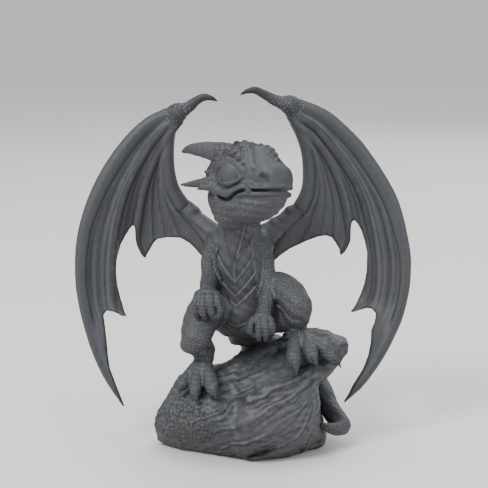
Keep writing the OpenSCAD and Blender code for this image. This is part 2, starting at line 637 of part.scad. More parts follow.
// Knots of a bone: each is a point of the wing and its thickness as a share of d
function bone(e, side, d, knots) = [for (k = knots) round_row(on_wing(e, side, k), d * k[3])];
function flat_bone(e, side, d, knots) = [for (k = knots) row(on_wing(e, side, k), d * k[3], d * k[3] * 0.7)];
// Both wings: forearm, leading finger, two more fingers, and the line where the skin meets the flank.
// The left wing is folded a little further in than the right.
function left_bones() = let (e = left_wing_elbow) [
    bone(e, 1, wing_forearm_d, [[0, 0, 0, 1.15], [0.05, 0, 0.3, 1], [0.02, 0.1, 0.64, 0.92],
        [-0.1, 0.25, 0.95, 1.1]]),
    flat_bone(e, 1, lead_w, [[-0.1, 0.25, 0.97, 0.86], [0.24, 0.36, 0.88, 1], [0.47, 0.45, 0.68, 1],
        [0.67, 0.5, 0.43, 1],
        [0.84, 0.55, 0.16, 0.96], [0.96, 0.62, -0.12, 0.9], [1, 0.68, -0.28, 0.84],
        [0.97, 0.76, -0.46, 0.78],
        [0.86, 0.83, -0.64, 0.7], [0.66, 0.92, -0.85, 0.5], [0.43, 1, -1, 0.14]]),
    bone(e, 1, finger_d, [[-0.06, 0.2, 0.9, 1.2], [0.33, 0.22, 0.57, 1.1], [0.56, 0.22, 0.21, 1],
        [0.68, 0.26, -0.14, 0.9],
        [0.7, 0.34, -0.31, 0.8], [0.66, 0.42, -0.44, 0.6], [0.51, 0.5, -0.53, 0.3]]),
    bone(e, 1, finger_d, [[-0.08, 0.18, 0.86, 1.1], [0.18, 0.1, 0.62, 1.1], [0.36, 0, 0.32, 1],
        [0.46, 0, -0.02, 0.9],
        [0.48, 0.04, -0.15, 0.8], [0.41, 0.08, -0.23, 0.4]]),
    bone(e, 1, skin_t, [[-0.12, 0.2, 0.88, 1.1], [0.04, 0.04, 0.45, 1.1], [-0.02, -0.05, 0.03, 1.1],
        [-0.14, -0.03, -0.12, 1.1], [-0.26, 0.1, -0.26, 1.1]])];
function right_bones() = let (e = right_wing_elbow) [
    bone(e, -1, wing_forearm_d, [[0, 0, 0, 1.15], [0.09, 0, 0.28, 1], [0.11, 0.1, 0.58, 0.92],
        [0.02, 0.25, 0.87, 1.1]]),
    flat_bone(e, -1, lead_w, [[0.02, 0.25, 0.89, 0.86], [0.35, 0.36, 0.79, 1], [0.58, 0.45, 0.54, 1],
        [0.78, 0.5, 0.23, 1],
        [0.91, 0.56, -0.05, 0.96], [0.965, 0.62, -0.21, 0.9], [0.97, 0.7, -0.38, 0.82],
        [0.9, 0.8, -0.6, 0.72],
        [0.78, 0.9, -0.82, 0.56], [0.58, 1, -1.03, 0.14]]),
    bone(e, -1, finger_d, [[0.04, 0.2, 0.83, 1.2], [0.32, 0.22, 0.58, 1.1], [0.53, 0.22, 0.23, 1],
        [0.64, 0.26, -0.07, 0.9],
        [0.68, 0.34, -0.28, 0.8], [0.66, 0.42, -0.45, 0.6], [0.57, 0.5, -0.57, 0.3]]),
    bone(e, -1, finger_d, [[0.02, 0.18, 0.8, 1.1], [0.21, 0.1, 0.57, 1.1], [0.37, 0, 0.23, 1],
        [0.44, 0, -0.06, 0.9],
        [0.45, 0.04, -0.17, 0.8], [0.39, 0.08, -0.26, 0.4]]),
    bone(e, -1, skin_t, [[0, 0.2, 0.82, 1.1], [0.08, 0.04, 0.42, 1.1], [-0.01, -0.05, 0.03, 1.1],
        [-0.14, -0.03, -0.12, 1.1], [-0.3, 0.1, -0.26, 1.1]])];

module wing_arm_shape(root, elbow) {
    middle = (root + elbow) / 2 + wing_arm_l * [0, 0.04, -0.06];
    sweep([
        round_row(root, wing_arm_d * 1.12), round_row(middle, wing_arm_d * 0.96),
        round_row(elbow, wing_arm_d * 0.78)],
        up = [0, 1, 0], sides = 8, steps = 3, cap_leans = [20]);
}
module wing_arm(root, elbow, side) {
    out = unit(elbow - root);
    color(resin) {
        difference() {
            union() {
                wing_arm_shape(root, elbow);
                // The elbow's spur, on the outside of the bend
                spike(elbow + 0.16 * wing_arm_d * [-side, 0, 1],
                    elbow + 0.8 * wing_arm_d * [-0.3 * side, 0.1, 1],
                    wing_arm_d * 0.5, [0, 0, 0]);
            }
            torso_skin();
            if (side > 0) left_arm_shape();
            else right_arm_shape();
            socket(elbow + out, -out);
        }
        peg(wing_seat(root, side), wing_way(side));
    }
}
module left_wing_arm() { wing_arm(left_wing_root, left_wing_elbow, 1); }
module right_wing_arm() { wing_arm(right_wing_root, right_wing_elbow, -1); }

module wing(bones, root, elbow, side) {
    out = unit(elbow - root);
    wrist = place(bones[0][3]);
    thumb = wrist + 0.4 * thumb_l * [-side, -0.1, 0.2];
    scales = 5;
    color(resin) {
        difference() {
            union() {
                for (b = [0:3]) sweep(bones[b], up = [0, 1, 0], sides = 6, steps = 1, cap_leans = [50]);
                skin_sheet(bones[1], bones[2], side, 0.2 * wing_cup, 0.2);
                skin_sheet(bones[2], bones[3], side, 0.22 * wing_cup, 0.3);
                skin_sheet(bones[3], bones[4], side, 0.2 * wing_cup, 0.16);
                // Knuckle and hooked thumb claw at the wrist
                strand([[wrist, wing_forearm_d * 1.3], [thumb, wing_forearm_d * 1.05]]);
                spike(thumb, wrist + thumb_l * [-0.86 * side, -0.2, 0.24], wing_forearm_d * 0.86,
                    [0, 0, 0.13 * thumb_l], 6);
                // Scales round the wrist
                for (i = [0:scales - 1]) let (a = 360 * i / scales, r = 0.46 * wing_forearm_d)
                    ball(wrist + [r * sin(a), -0.36 * wing_forearm_d, r * cos(a)], 0.46 * wing_forearm_d, 5);
            }
            wing_arm_shape(root, elbow);
            torso_skin();
        }
        peg(elbow + out, -out);
    }
}
module left_wing() { wing(left_bones(), left_wing_root, left_wing_elbow, 1); }
module right_wing() { wing(right_bones(), right_wing_root, right_wing_elbow, -1); }

// ---------- tail ----------
module tail_sweep(rows) { sweep(rows, up = [0, 0, 1], sides = 8, steps = 2, cap_leans = [40]); }
module tail() {
    color(resin) {
        difference() {
            tail_sweep([
                round_row(tail_root + 0.08 * tail_d * [0, 1, 0], tail_d * 0.98),
                round_row(tail_root + 0.6 * tail_d * [0.1, 1, -0.6], tail_d * 0.94),
                round_row(on_rock([0.155, 0.945, 0.645]), tail_d * 0.84),
                round_row(on_rock([0.26, 1.07, 0.35]), tail_d * 0.74),
                round_row(tail_join, tail_mid_d)]);
            torso();
            rock_body();
        }
        peg(tail_seat, tail_way);
    }
}
module tail_tip() {
    color(resin) difference() {
        tail_sweep([
            round_row(tail_join + tail_mid_d * [0.5, -0.1, 0.13], tail_mid_d),
            round_row(on_rock([0.886, 0.745, 0.41]), tail_mid_d * 0.94),
            round_row(on_rock([0.99, 0.38, 0.48]), tail_mid_d * 0.86),
            round_row(on_rock([1.127, 0.11, 0.3]), tail_mid_d * 0.8),
            round_row(on_rock([1.135, -0.12, 0.2]), tail_mid_d * 0.72),
            round_row(on_rock([1.03, -0.32, 0.2]), tail_mid_d * 0.54),
            round_row(on_rock([0.9, -0.46, 0.29]), tail_mid_d * 0.2)]);
        rock_body();
        tail();
    }
}

rock_base();
torso();
head();
left_horn();
right_horn();
left_arm();
right_arm();
left_leg();
right_leg();
left_wing_arm();
right_wing_arm();
left_wing();
right_wing();
tail();
tail_tip();
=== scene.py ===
"""A hatchling dragon on a rock, cast in grey resin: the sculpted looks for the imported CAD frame.

Each piece is sculpted as a signed distance field in millimetres, meshed, then given fine relief.
"""
import math

import bpy
import numpy as np
import openvdb as vdb
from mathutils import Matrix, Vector


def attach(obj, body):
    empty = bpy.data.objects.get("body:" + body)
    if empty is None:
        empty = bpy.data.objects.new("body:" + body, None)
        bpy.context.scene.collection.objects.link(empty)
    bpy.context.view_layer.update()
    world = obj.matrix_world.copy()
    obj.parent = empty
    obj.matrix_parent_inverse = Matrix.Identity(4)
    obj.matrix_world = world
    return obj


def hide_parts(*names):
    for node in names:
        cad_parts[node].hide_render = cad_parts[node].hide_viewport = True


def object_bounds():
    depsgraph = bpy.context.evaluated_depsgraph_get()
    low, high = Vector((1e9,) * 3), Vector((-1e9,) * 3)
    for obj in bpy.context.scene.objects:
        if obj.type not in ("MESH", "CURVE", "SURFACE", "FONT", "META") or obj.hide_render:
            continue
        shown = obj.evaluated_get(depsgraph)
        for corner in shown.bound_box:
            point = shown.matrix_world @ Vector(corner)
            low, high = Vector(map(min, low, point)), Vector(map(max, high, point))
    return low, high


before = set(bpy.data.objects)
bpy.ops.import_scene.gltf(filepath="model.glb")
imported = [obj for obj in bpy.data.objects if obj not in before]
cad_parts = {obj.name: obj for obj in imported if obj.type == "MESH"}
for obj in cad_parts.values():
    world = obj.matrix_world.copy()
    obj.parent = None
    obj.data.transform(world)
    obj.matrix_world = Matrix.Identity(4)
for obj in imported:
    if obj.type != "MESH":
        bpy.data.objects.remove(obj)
cad_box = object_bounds()
MM = 0.001


# ---------- camera ----------
CAMERA_AIM = (0.3, 0.0, 54.2)    # mm
CAMERA_AWAY = 0.330              # metres
CAMERA_LIFT = math.radians(10)
CAMERA_FIELD = math.radians(22)


def make_camera():
    data = bpy.data.cameras.new("camera")
    cam = bpy.data.objects.new("camera", data)
    bpy.context.scene.collection.objects.link(cam)
    target = Vector(CAMERA_AIM) * MM
    cam.location = target + Vector((0, -math.cos(CAMERA_LIFT), math.sin(CAMERA_LIFT))) * CAMERA_AWAY
    cam.rotation_euler = (target - cam.location).to_track_quat("-Z", "Y").to_euler()
    data.angle = CAMERA_FIELD
    data.clip_start = 0.01
    data.clip_end = 10
    bpy.context.scene.camera = cam


make_camera()


# ---------- vectors, curves and noise ----------
def vec(*p):
    """The given numbers as an array."""
    return np.array(p, float)


def rot(axis, degrees):
    """A turn about one axis (0 is x, 1 is y, 2 is z) as a matrix."""
    a = math.radians(degrees)
    c, s = math.cos(a), math.sin(a)
    i, j = [(1, 2), (2, 0), (0, 1)][axis]
    m = np.eye(3)
    m[i, i], m[i, j], m[j, i], m[j, j] = c, -s, s, c
    return m


def spline(rows, steps=6):
    """Catmull-Rom through the rows, each any tuple of numbers."""
    p = np.array(rows, float)
    p = np.vstack([p[0], p, p[-1]])
    out = []
    for i in range(1, len(p) - 2):
        a, b, c, d = p[i - 1:i + 3]
        for s in range(steps):
            t = s / steps
            out.append(0.5 * (2 * b + (c - a) * t + (2 * a - 5 * b + 4 * c - d) * t * t
                              + (3 * b - a - 3 * c + d) * t ** 3))
    out.append(p[-1])
    return np.array(out)


def hash01(ix, iy, iz, seed):
    """A repeatable number from 0 to 1 for each lattice point."""
    n = (ix.astype(np.int64) * 73856093) ^ (iy.astype(np.int64) * 19349663) ^ (iz.astype(np.int64) * 83492791)
    n = (n ^ (seed * 2654435761)) & 0xFFFFFFFF
    n = ((n ^ (n >> 15)) * 2246822519) & 0xFFFFFFFF
    n = ((n ^ (n >> 13)) * 3266489917) & 0xFFFFFFFF
    return ((n ^ (n >> 16)) & 0xFFFFFF) / float(0xFFFFFF)


def value_noise(p, seed):
    """Smooth noise from -1 to 1 at points p, one bump per unit."""
    i = np.floor(p).astype(np.int64)
    f = p - i
    f = f * f * (3 - 2 * f)
    total = np.zeros(len(p))
    for dx in (0, 1):
        for dy in (0, 1):
            for dz in (0, 1):
                w = (f[:, 0] if dx else 1 - f[:, 0]) * (f[:, 1] if dy else 1 - f[:, 1]) \
                    * (f[:, 2] if dz else 1 - f[:, 2])
                total += w * hash01(i[:, 0] + dx, i[:, 1] + dy, i[:, 2] + dz, seed)
    return total * 2 - 1


def fractal(p, octaves, seed):
    """Noise from -1 to 1 with finer bumps added at half the height each time."""
    total, amp, norm = 0, 1.0, 0
    for o in range(octaves):
        total = total + amp * value_noise(p * 2 ** o, seed + 17 * o)
        norm += amp
        amp *= 0.5
    return total / norm


def cells(p, seed):
    """Distances to the nearest and second nearest of one scattered point per unit cell."""
    i = np.floor(p).astype(np.int64)
    first = np.full(len(p), 9.0)
    second = np.full(len(p), 9.0)
    for dx in (-1, 0, 1):
        for dy in (-1, 0, 1):
            for dz in (-1, 0, 1):
                c = i + (dx, dy, dz)
                q = np.stack([hash01(c[:, 0], c[:, 1], c[:, 2], seed + k) for k in (1, 2, 3)], 1) * 0.8 + 0.1
                d = np.sqrt((((c + q) - p) ** 2).sum(1))
                near = d < first
                second = np.where(near, first, np.minimum(second, d))
                first = np.where(near, d, first)
    return first, second


def smooth(x, lo, hi):
    """Rises from 0 at lo to 1 at hi."""
    t = np.clip((x - lo) / (hi - lo), 0, 1)
    return t * t * (3 - 2 * t)


# ---------- clay: shapes on a signed distance field ----------
# A shape is its signed distance function and the low and high corners of its box, all in mm.
def cone(a, b, ra, rb):
    """A rod with round ends of different radii."""
    a, b = np.array(a, float), np.array(b, float)
    ba = b - a
    l2 = float(ba @ ba)
    rr = ra - rb
    a2 = l2 - rr * rr
    if a2 <= 1e-9:
        return ball(a, ra) if ra > rb else ball(b, rb)

    def shape(x, y, z):
        px, py, pz = x - a[0], y - a[1], z - a[2]
        t = px * ba[0] + py * ba[1] + pz * ba[2]
        u = t - l2
        x2 = (px * l2 - ba[0] * t) ** 2 + (py * l2 - ba[1] * t) ** 2 + (pz * l2 - ba[2] * t) ** 2
        k = math.copysign(rr * rr, rr) * x2
        side = (np.sqrt(x2 * a2 / l2) + t * rr) / l2 - ra
        past_b = np.sqrt(x2 + u * u * l2) / l2 - rb
        past_a = np.sqrt(x2 + t * t * l2) / l2 - ra
        d = np.where(np.sign(t) * a2 * t * t * l2 < k, past_a, side)
        return np.where(np.sign(u) * a2 * u * u * l2 > k, past_b, d)
    r = max(ra, rb)
    return shape, np.minimum(a, b) - r, np.maximum(a, b) + r


def ball(c, r):
    c = np.array(c, float)

    def shape(x, y, z):
        return np.sqrt((x - c[0]) ** 2 + (y - c[1]) ** 2 + (z - c[2]) ** 2) - r
    return shape, c - r, c + r


def pad(c, radii, turn=None):
    """An ellipsoid; turn is a rotation matrix from its own axes to the model's."""
    c, radii = np.array(c, float), np.array(radii, float)
    m = np.eye(3) if turn is None else turn
    reach = np.sqrt(((m * radii) ** 2).sum(1))

    def shape(x, y, z):
        p = [m[0, i] * (x - c[0]) + m[1, i] * (y - c[1]) + m[2, i] * (z - c[2]) for i in range(3)]
        k0 = np.sqrt(sum((p[i] / radii[i]) ** 2 for i in range(3)))
        k1 = np.sqrt(sum((p[i] / radii[i] ** 2) ** 2 for i in range(3))) + 1e-6
        return k0 * (k0 - 1) / k1
    return shape, c - reach, c + reach


def loft(rows, axis=2, power=2.0, caps=(0.8, 0.8)):
    """A solid of oval sections stacked along one axis. A row is (t, u, v, half width, half depth).

    u and v are the other two axes in order; each end is closed with a rounded cap, the lower end first.
    power 2 makes the sections ovals and more makes them squarer.
    """
    if rows[0][0] > rows[-1][0]:
        rows = rows[::-1]
    r = spline(rows, 8)
    for end, way in ((0, -1), (-1, 1)):
        cap = 0.5 * (r[end, 3] + r[end, 4]) * caps[end]
        lean = np.radians([15, 30, 45, 58, 70, 80, 87])
        extra = np.repeat(r[end][None], len(lean), 0)
        extra[:, 0] += way * cap * np.sin(lean)
        extra[:, 3:] *= np.cos(lean)[:, None]
        r = np.vstack([extra[::-1], r]) if end == 0 else np.vstack([r, extra])
    others = [i for i in (0, 1, 2) if i != axis]
    corners = []
    for row in (r[0], r[-1], *r[:: max(1, len(r) // 12)]):
        for su in (-1, 1):
            for sv in (-1, 1):
                q = np.zeros(3)
                q[axis] = row[0]
                q[others[0]] = row[1] + su * row[3]
                q[others[1]] = row[2] + sv * row[4]
                corners.append(q)
    corners = np.array(corners)

    def shape(x, y, z):
        p = (x, y, z)
        t, u, v = (p[i].astype(float) for i in (axis, *others))
        cu, cv, ru, rv = (np.interp(t, r[:, 0], r[:, k]) for k in (1, 2, 3, 4))
        a, b = np.abs(u - cu), np.abs(v - cv)
        if power == 2.0:
            k0 = np.sqrt((a / ru) ** 2 + (b / rv) ** 2)
        else:
            k0 = ((a / ru) ** power + (b / rv) ** power) ** (1 / power)
        k1 = np.sqrt((a / ru ** 2) ** 2 + (b / rv ** 2) ** 2) + 1e-6
        d = k0 * (k0 - 1) / k1
        return np.maximum(d, np.maximum(r[0, 0] - t, t - r[-1, 0]))
    return shape, corners.min(0) - 1, corners.max(0) + 1


def s_min(a, b, k):
    """The smaller of two fields, blended over a width of k."""
    if k <= 0:
        return np.minimum(a, b)
    h = np.clip(0.5 + 0.5 * (b - a) / k, 0, 1)
    return b * (1 - h) + a * h - k * h * (1 - h)


def s_max(a, b, k):
    return -s_min(-a, -b, k)


def chain_of(rows, steps=5):
    """A round limb through (x, y, z, radius) rows, as a list of cones joined end to end."""
    r = spline(rows, steps)
    return [cone(p[:3], q[:3], max(p[3], 0.05), max(q[3], 0.05)) for p, q in zip(r[:-1], r[1:])]


FAR = 9.0          # mm, the field's value where no shape reaches
MARGIN = 1.2       # mm of field worked round each shape
TUCK = 0.7         # mm past its seam at which a piece ends
SEAM_DIP = 0.07    # mm that it lies under its neighbour's skin there


class Clay:
    """A list of sculpting steps, each worked on a grid only where it reaches.

    k is the width in mm over which a step blends with what is there.
    """

    def __init__(self):
        self.steps = []

    def add(self, part, shape, k=0.0):
        self.steps.append(("add", part, [shape], k))

    def tube(self, part, rows, k=0.0, steps=5):
        self.steps.append(("add", part, chain_of(rows, steps), k))

    def cut(self, shape, k=0.0):
        self.steps.append(("cut", None, [shape], k))

    def cut_tube(self, rows, k=0.0):
        self.steps.append(("cut", None, chain_of(rows), k))

    def work(self, grid, part=None):
        """Works the steps into the grid's field; a named part is then cut back to its own share."""
        if part:
            own = np.full(grid.f.shape, FAR, np.float32)
            other = np.full(grid.f.shape, FAR, np.float32)
        for kind, label, links, k in self.steps:
            lo = np.min([link[1] for link in links], 0)
            hi = np.max([link[2] for link in links], 0)
            win = grid.window(lo - k - MARGIN, hi + k + MARGIN)
            if win is None:
                continue
            sl = win[0]
            d = np.full(grid.f[sl].shape, FAR, np.float32)
            for shape, lo, hi in links:
                link_win = grid.window(lo - k - MARGIN, hi + k + MARGIN)
                if link_win is None:
                    continue
                link_sl, xyz = link_win
                rel = tuple(slice(s.start - t.start, s.stop - t.start) for s, t in zip(link_sl, sl))
                d[rel] = np.minimum(d[rel], shape(*xyz))
            if kind == "cut":
                grid.f[sl] = s_max(grid.f[sl], -d, k)
                continue
            grid.f[sl] = s_min(grid.f[sl], d, k)
            if part:
                share = own if label == part else other
                share[sl] = np.minimum(share[sl], d)
        if part:
            # Past its seam a piece runs on just under its neighbour's skin, so no crack shows
            past = (own - other) * 0.5
            sunk = grid.f + SEAM_DIP * smooth(past, 0.0, 0.4)
            grid.f = np.maximum(sunk, past - TUCK).astype(np.float32)
        return grid


class Grid:
    """A box of field values f, h mm apart, over the corners lo and hi."""

    def __init__(self, lo, hi, h):
        self.h = h
        self.lo = np.floor(np.array(lo, float) / h) * h
        n = np.ceil((np.array(hi, float) - self.lo) / h).astype(int) + 1
        self.n = n
        self.axes = [(self.lo[i] + h * np.arange(n[i])).astype(np.float32) for i in range(3)]
        self.f = np.full(tuple(n), FAR, np.float32)

    def window(self, lo, hi):
        """The slices of the grid that a box covers and their coordinates, or None outside the grid."""
        a = np.clip(np.floor((lo - self.lo) / self.h).astype(int), 0, self.n)
        b = np.clip(np.ceil((hi - self.lo) / self.h).astype(int) + 1, 0, self.n)
        if (b <= a).any():
            return None
        sl = tuple(slice(int(i), int(j)) for i, j in zip(a, b))
        x = self.axes[0][sl[0]][:, None, None]
        y = self.axes[1][sl[1]][None, :, None]
        z = self.axes[2][sl[2]][None, None, :]
        return sl, (x, y, z)

    def soften(self, passes):
        """Averages the field with its neighbours along each axis in turn."""
        for _ in range(passes):
            for axis in range(3):
                g = np.moveaxis(self.f, axis, 0)
                g[1:-1] = 0.25 * g[:-2] + 0.5 * g[1:-1] + 0.25 * g[2:]

    def mesh(self):
        """Points in mm and quads of the zero surface."""
        f = self.f
        for axis in range(3):
            g = np.moveaxis(f, axis, 0)
            g[0] = np.maximum(g[0], 0.5)
            g[-1] = np.maximum(g[-1], 0.5)
        g = vdb.FloatGrid(background=FAR)
        g.copyFromArray(np.ascontiguousarray(np.clip(f, -3, 3), dtype=np.float32))
        g.transform = vdb.createLinearTransform(voxelSize=self.h)
        points, quads = g.convertToQuads(isovalue=0.0)
        return points.astype(float) + self.lo, quads[:, ::-1].astype(np.int64)


def normals_of(points, quads):
    """Unit normals at the points, weighted by the quads' areas."""
    d1 = points[quads[:, 2]] - points[quads[:, 0]]
    d2 = points[quads[:, 3]] - points[quads[:, 1]]
    n = np.cross(d1, d2)
    out = np.zeros_like(points)
    for k in range(4):
        np.add.at(out, quads[:, k], n)
    return out / np.maximum(np.linalg.norm(out, axis=1), 1e-9)[:, None]


def relax(points, quads, passes, amount=0.5):
    """Moves each point towards the mean of its neighbours, which smooths the voxel steps away."""
    a = np.concatenate([quads[:, 0], quads[:, 1], quads[:, 2], quads[:, 3]])
    b = np.concatenate([quads[:, 1], quads[:, 2], quads[:, 3], quads[:, 0]])
    i, j = np.concatenate([a, b]), np.concatenate([b, a])
    count = np.bincount(i, minlength=len(points))[:, None]
    for _ in range(passes):
        sums = [np.bincount(i, weights=points[j, k], minlength=len(points)) for k in range(3)]
        points = points + amount * (np.stack(sums, 1) / np.maximum(count, 1) - points)
    return points


# Painted light and shade on every piece: ridges are painted paler and creases painted darker
FINE_PAINTED_LIGHT = 4.5          # painted highlight for each mm that a point stands proud of its near neighbours
BROAD_PAINTED_LIGHT = 1.2         # and of the wider surface
DEEPEST_PAINTED_SHADE, BRIGHTEST_PAINTED_HIGHLIGHT = -0.5, 0.55
PAINTED_LIGHT_STRENGTH = 1.35


def painted_ridge_and_crease_light(points, quads):
    """Painted highlight on ridges and painted shade in creases, at a fine and a broad scale."""
    n = normals_of(points, quads)
    near = relax(points, quads, 4, 0.6)
    far = relax(near, quads, 16, 0.6)
    fine, broad = (((q - points) * n).sum(1) for q in (near, far))
    return np.clip(-FINE_PAINTED_LIGHT * fine - BROAD_PAINTED_LIGHT * broad, DEEPEST_PAINTED_SHADE, BRIGHTEST_PAINTED_HIGHLIGHT) * PAINTED_LIGHT_STRENGTH


def build(name, points, quads, nodes, extra_painted_light=0):
    """A finished piece in resin that stands in for the given CAD nodes; the last argument is extra painted
    light, or painted shade below 0, added to its painted light and shade.
    """
    me = bpy.data.meshes.new(name)
    me.vertices.add(len(points))
    me.vertices.foreach_set("co", (points * MM).astype(np.float32).ravel())
    me.loops.add(quads.size)
    me.loops.foreach_set("vertex_index", quads.astype(np.int32).ravel())
    me.polygons.add(len(quads))
    me.polygons.foreach_set("loop_start", np.arange(0, quads.size, 4, dtype=np.int32))
    me.polygons.foreach_set("loop_total", np.full(len(quads), 4, np.int32))
    me.polygons.foreach_set("use_smooth", np.ones(len(quads), bool))
    me.update(calc_edges=True)
    me.validate()
    # Painted light and shade, stored on the points for the resin to scale its colour by
    painted_light = (painted_ridge_and_crease_light(points, quads) + extra_painted_light).astype(np.float32)
    me.attributes.new("painted_light", "FLOAT", "POINT").data.foreach_set("value", painted_light)
    obj = bpy.data.objects.new(name, me)
    bpy.context.scene.collection.objects.link(obj)
    obj.data.materials.append(resin)
    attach(obj, "root")
    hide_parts(*nodes)


# ---------- material ----------
def node(tree, kind, **inputs):
    """A new shader node with some of its inputs set."""
    n = tree.nodes.new(kind)
    for key, value in inputs.items():
        n.inputs[key.replace("_", " ")].default_value = value
    return n


def make_resin():
    """Dull grey cast resin, with its noise scales in bumps per metre."""
    mat = bpy.data.materials.new("cast_resin")
    mat.use_nodes = True
    t = mat.node_tree
    t.nodes.clear()
    out = t.nodes.new("ShaderNodeOutputMaterial")
    bsdf = t.nodes.new("ShaderNodeBsdfPrincipled")
    t.links.new(bsdf.outputs["BSDF"], out.inputs["Surface"])
    coord = t.nodes.new("ShaderNodeTexCoord")

    def noise(scale, detail, rough=0.55, stretch=None):
        n = node(t, "ShaderNodeTexNoise", Scale=scale, Detail=detail, Roughness=rough)
        src = coord.outputs["Object"]
        if stretch:
            m = t.nodes.new("ShaderNodeMapping")
            m.inputs["Scale"].default_value = stretch
            t.links.new(src, m.inputs["Vector"])
            src = m.outputs["Vector"]
        t.links.new(src, n.inputs["Vector"])
        return n.outputs["Fac"]

    def ramp(fac, stops):
        r = t.nodes.new("ShaderNodeValToRGB")
        els = r.color_ramp.elements
        while len(els) < len(stops):
            els.new(0.5)
        for e, (pos, col) in zip(els, stops):
            e.position = pos
            e.color = (*col, 1)
        t.links.new(fac, r.inputs["Fac"])
        return r.outputs["Color"]

    def mix(kind, fac, a, b):
        m = t.nodes.new("ShaderNodeMix")
        m.data_type = "RGBA"
        m.blend_type = kind
        for value, socket in ((fac, m.inputs["Factor"]), (a, m.inputs["A"]), (b, m.inputs["B"])):
            if hasattr(value, "is_output"):
                t.links.new(value, socket)
            else:
                socket.default_value = value
        return m.outputs["Result"]

    def grey(v):
        return (v, v, v)

    # Broad cloudy tone: bluish grey drifting to a warmer grey
    base = ramp(noise(60, 3), [(0.3, (0.050, 0.0535, 0.061)), (0.7, (0.060, 0.061, 0.0655))])
    specks = ramp(noise(900, 4), [(0.3, grey(0.93)), (0.7, grey(1.05))])
    base = mix("MULTIPLY", 1.0, base, specks)
    runs = ramp(noise(420, 3, stretch=(6, 6, 1)), [(0.35, grey(0.94)), (0.65, grey(1.05))])
    base = mix("MULTIPLY", 1.0, base, runs)
    # Painted light: the pointiness paints a highlight on the edges and painted shade in the creases
    geo = t.nodes.new("ShaderNodeNewGeometry")
    edge_highlight_crease_shade = ramp(geo.outputs["Pointiness"],
                  [(0.42, grey(0.62)), (0.49, grey(0.96)), (0.53, grey(1.06)), (0.6, grey(1.6))])
    base = mix("MULTIPLY", 0.5, base, edge_highlight_crease_shade)
    # Each piece's painted light and shade, added to 1, scales the colour
    painted_light = t.nodes.new("ShaderNodeAttribute")
    painted_light.attribute_name = "painted_light"
    lift = t.nodes.new("ShaderNodeMath")
    lift.inputs[1].default_value = 1.0
    t.links.new(painted_light.outputs["Fac"], lift.inputs[0])
    scale = t.nodes.new("ShaderNodeVectorMath")
    scale.operation = "SCALE"
    t.links.new(base, scale.inputs[0])
    t.links.new(lift.outputs["Value"], scale.inputs["Scale"])
    t.links.new(scale.outputs["Vector"], bsdf.inputs["Base Color"])
    rough = ramp(noise(700, 4), [(0.3, grey(0.5)), (0.7, grey(0.64))])
    t.links.new(rough, bsdf.inputs["Roughness"])
    bsdf.inputs["Specular IOR Level"].default_value = 0.42
    fine = node(t, "ShaderNodeBump", Strength=0.35, Distance=0.00012)
    t.links.new(noise(2600, 5, 0.6), fine.inputs["Height"])
    grain = node(t, "ShaderNodeBump", Strength=0.3, Distance=0.0002)
    t.links.new(noise(900, 3, 0.6), grain.inputs["Height"])
    t.links.new(fine.outputs["Normal"], grain.inputs["Normal"])
    t.links.new(grain.outputs["Normal"], bsdf.inputs["Normal"])
    return mat


resin = make_resin()


# ---------- body: torso, limbs, wing arms and tail share one blended skin ----------
body = Clay()
# Up the trunk: (z, x, y, half width, half depth)
TORSO_ROWS = [(28.4, 0.9, 4.9, 5.0, 4.8), (31.5, 0.6, 3.6, 7.3, 6.8), (36.5, 0.1, 2.2, 8.3, 7.6),
              (42, -0.6, 1.2, 7.8, 7.0), (48, -1.0, 0.5, 7.2, 6.4), (53, -1.0, 0.3, 6.6, 5.9),
              (57, -0.9, -0.2, 5.8, 5.4), (61, -0.9, -1.4, 5.5, 5.2), (66, -0.8, -3.2, 5.2, 5.0)]
body.add("torso", loft(TORSO_ROWS))
# Rump, belly, shoulder and back masses
body.add("torso", pad((1.4, 7.0, 32.5), (5.6, 4.6, 4.6)), 2.0)
body.add("torso", pad((-0.2, -0.3, 34.6), (8.2, 6.4, 6.0)), 1.5)
body.add("torso", pad((3.9, 1.6, 53.2), (3.6, 3.8, 4.2)), 1.6)
body.add("torso", pad((-5.9, 1.6, 53.2), (3.5, 3.8, 4.2)), 1.6)
body.add("torso", pad((-0.8, 5.0, 52.5), (5.0, 3.0, 5.0)), 2.0)


KNUCKLE = 1.06    # how much thicker a finger is at its knuckles
JOINT = 1.12      # and a toe at its last joint and round its claw


def hand(part, palm, palm_size, fingers, thumb):
    """A palm, fingers with a knuckle at each row but the last, and a thumb."""
    body.add(part, pad(palm, palm_size), 0.7)
    for rows in fingers:
        body.tube(part, rows, 0.18)
        for row in rows[:-1]:
            body.add(part, ball(row[:3], row[3] * KNUCKLE), 0.12)
    body.tube(part, thumb, 0.3)


# Left arm, hanging with the hand below the belly's edge
body.add("left_arm", ball((5.3, 0.9, 53.8), 2.7), 1.4)
body.tube("left_arm", [(5.0, 0.9, 54.0, 2.5), (5.9, 0.0, 51.0, 2.15), (6.3, -1.2, 47.2, 2.25),
                       (6.7, -2.6, 43.6, 2.35), (6.3, -5.4, 41.0, 2.2), (5.6, -8.4, 38.6, 1.95),
                       (5.2, -10.2, 37.4, 1.8)], 0.3)
hand("left_arm", (4.9, -11.0, 36.2), (3.0, 1.8, 2.2), [
    [(2.6, -11.9, 36.7, 0.92), (1.9, -12.7, 35.2, 0.92), (2.0, -12.7, 33.7, 0.86), (2.8, -12.1, 32.6, 0.7)],
    [(4.2, -12.3, 36.4, 0.96), (4.0, -13.3, 34.7, 0.96), (4.0, -13.2, 32.9, 0.9), (4.2, -12.5, 31.6, 0.74)],
    [(5.8, -12.2, 36.3, 0.96), (5.9, -13.2, 34.7, 0.96), (5.9, -13.1, 32.9, 0.9), (5.9, -12.4, 31.6, 0.74)],
    [(7.2, -11.6, 36.3, 0.9), (7.5, -12.4, 35.0, 0.88), (7.5, -12.3, 33.6, 0.82),
     (7.3, -11.7, 32.6, 0.68)]],
    [(3.0, -10.0, 36.4, 1.0), (1.6, -10.5, 35.0, 0.95), (1.4, -11.1, 33.4, 0.75)])
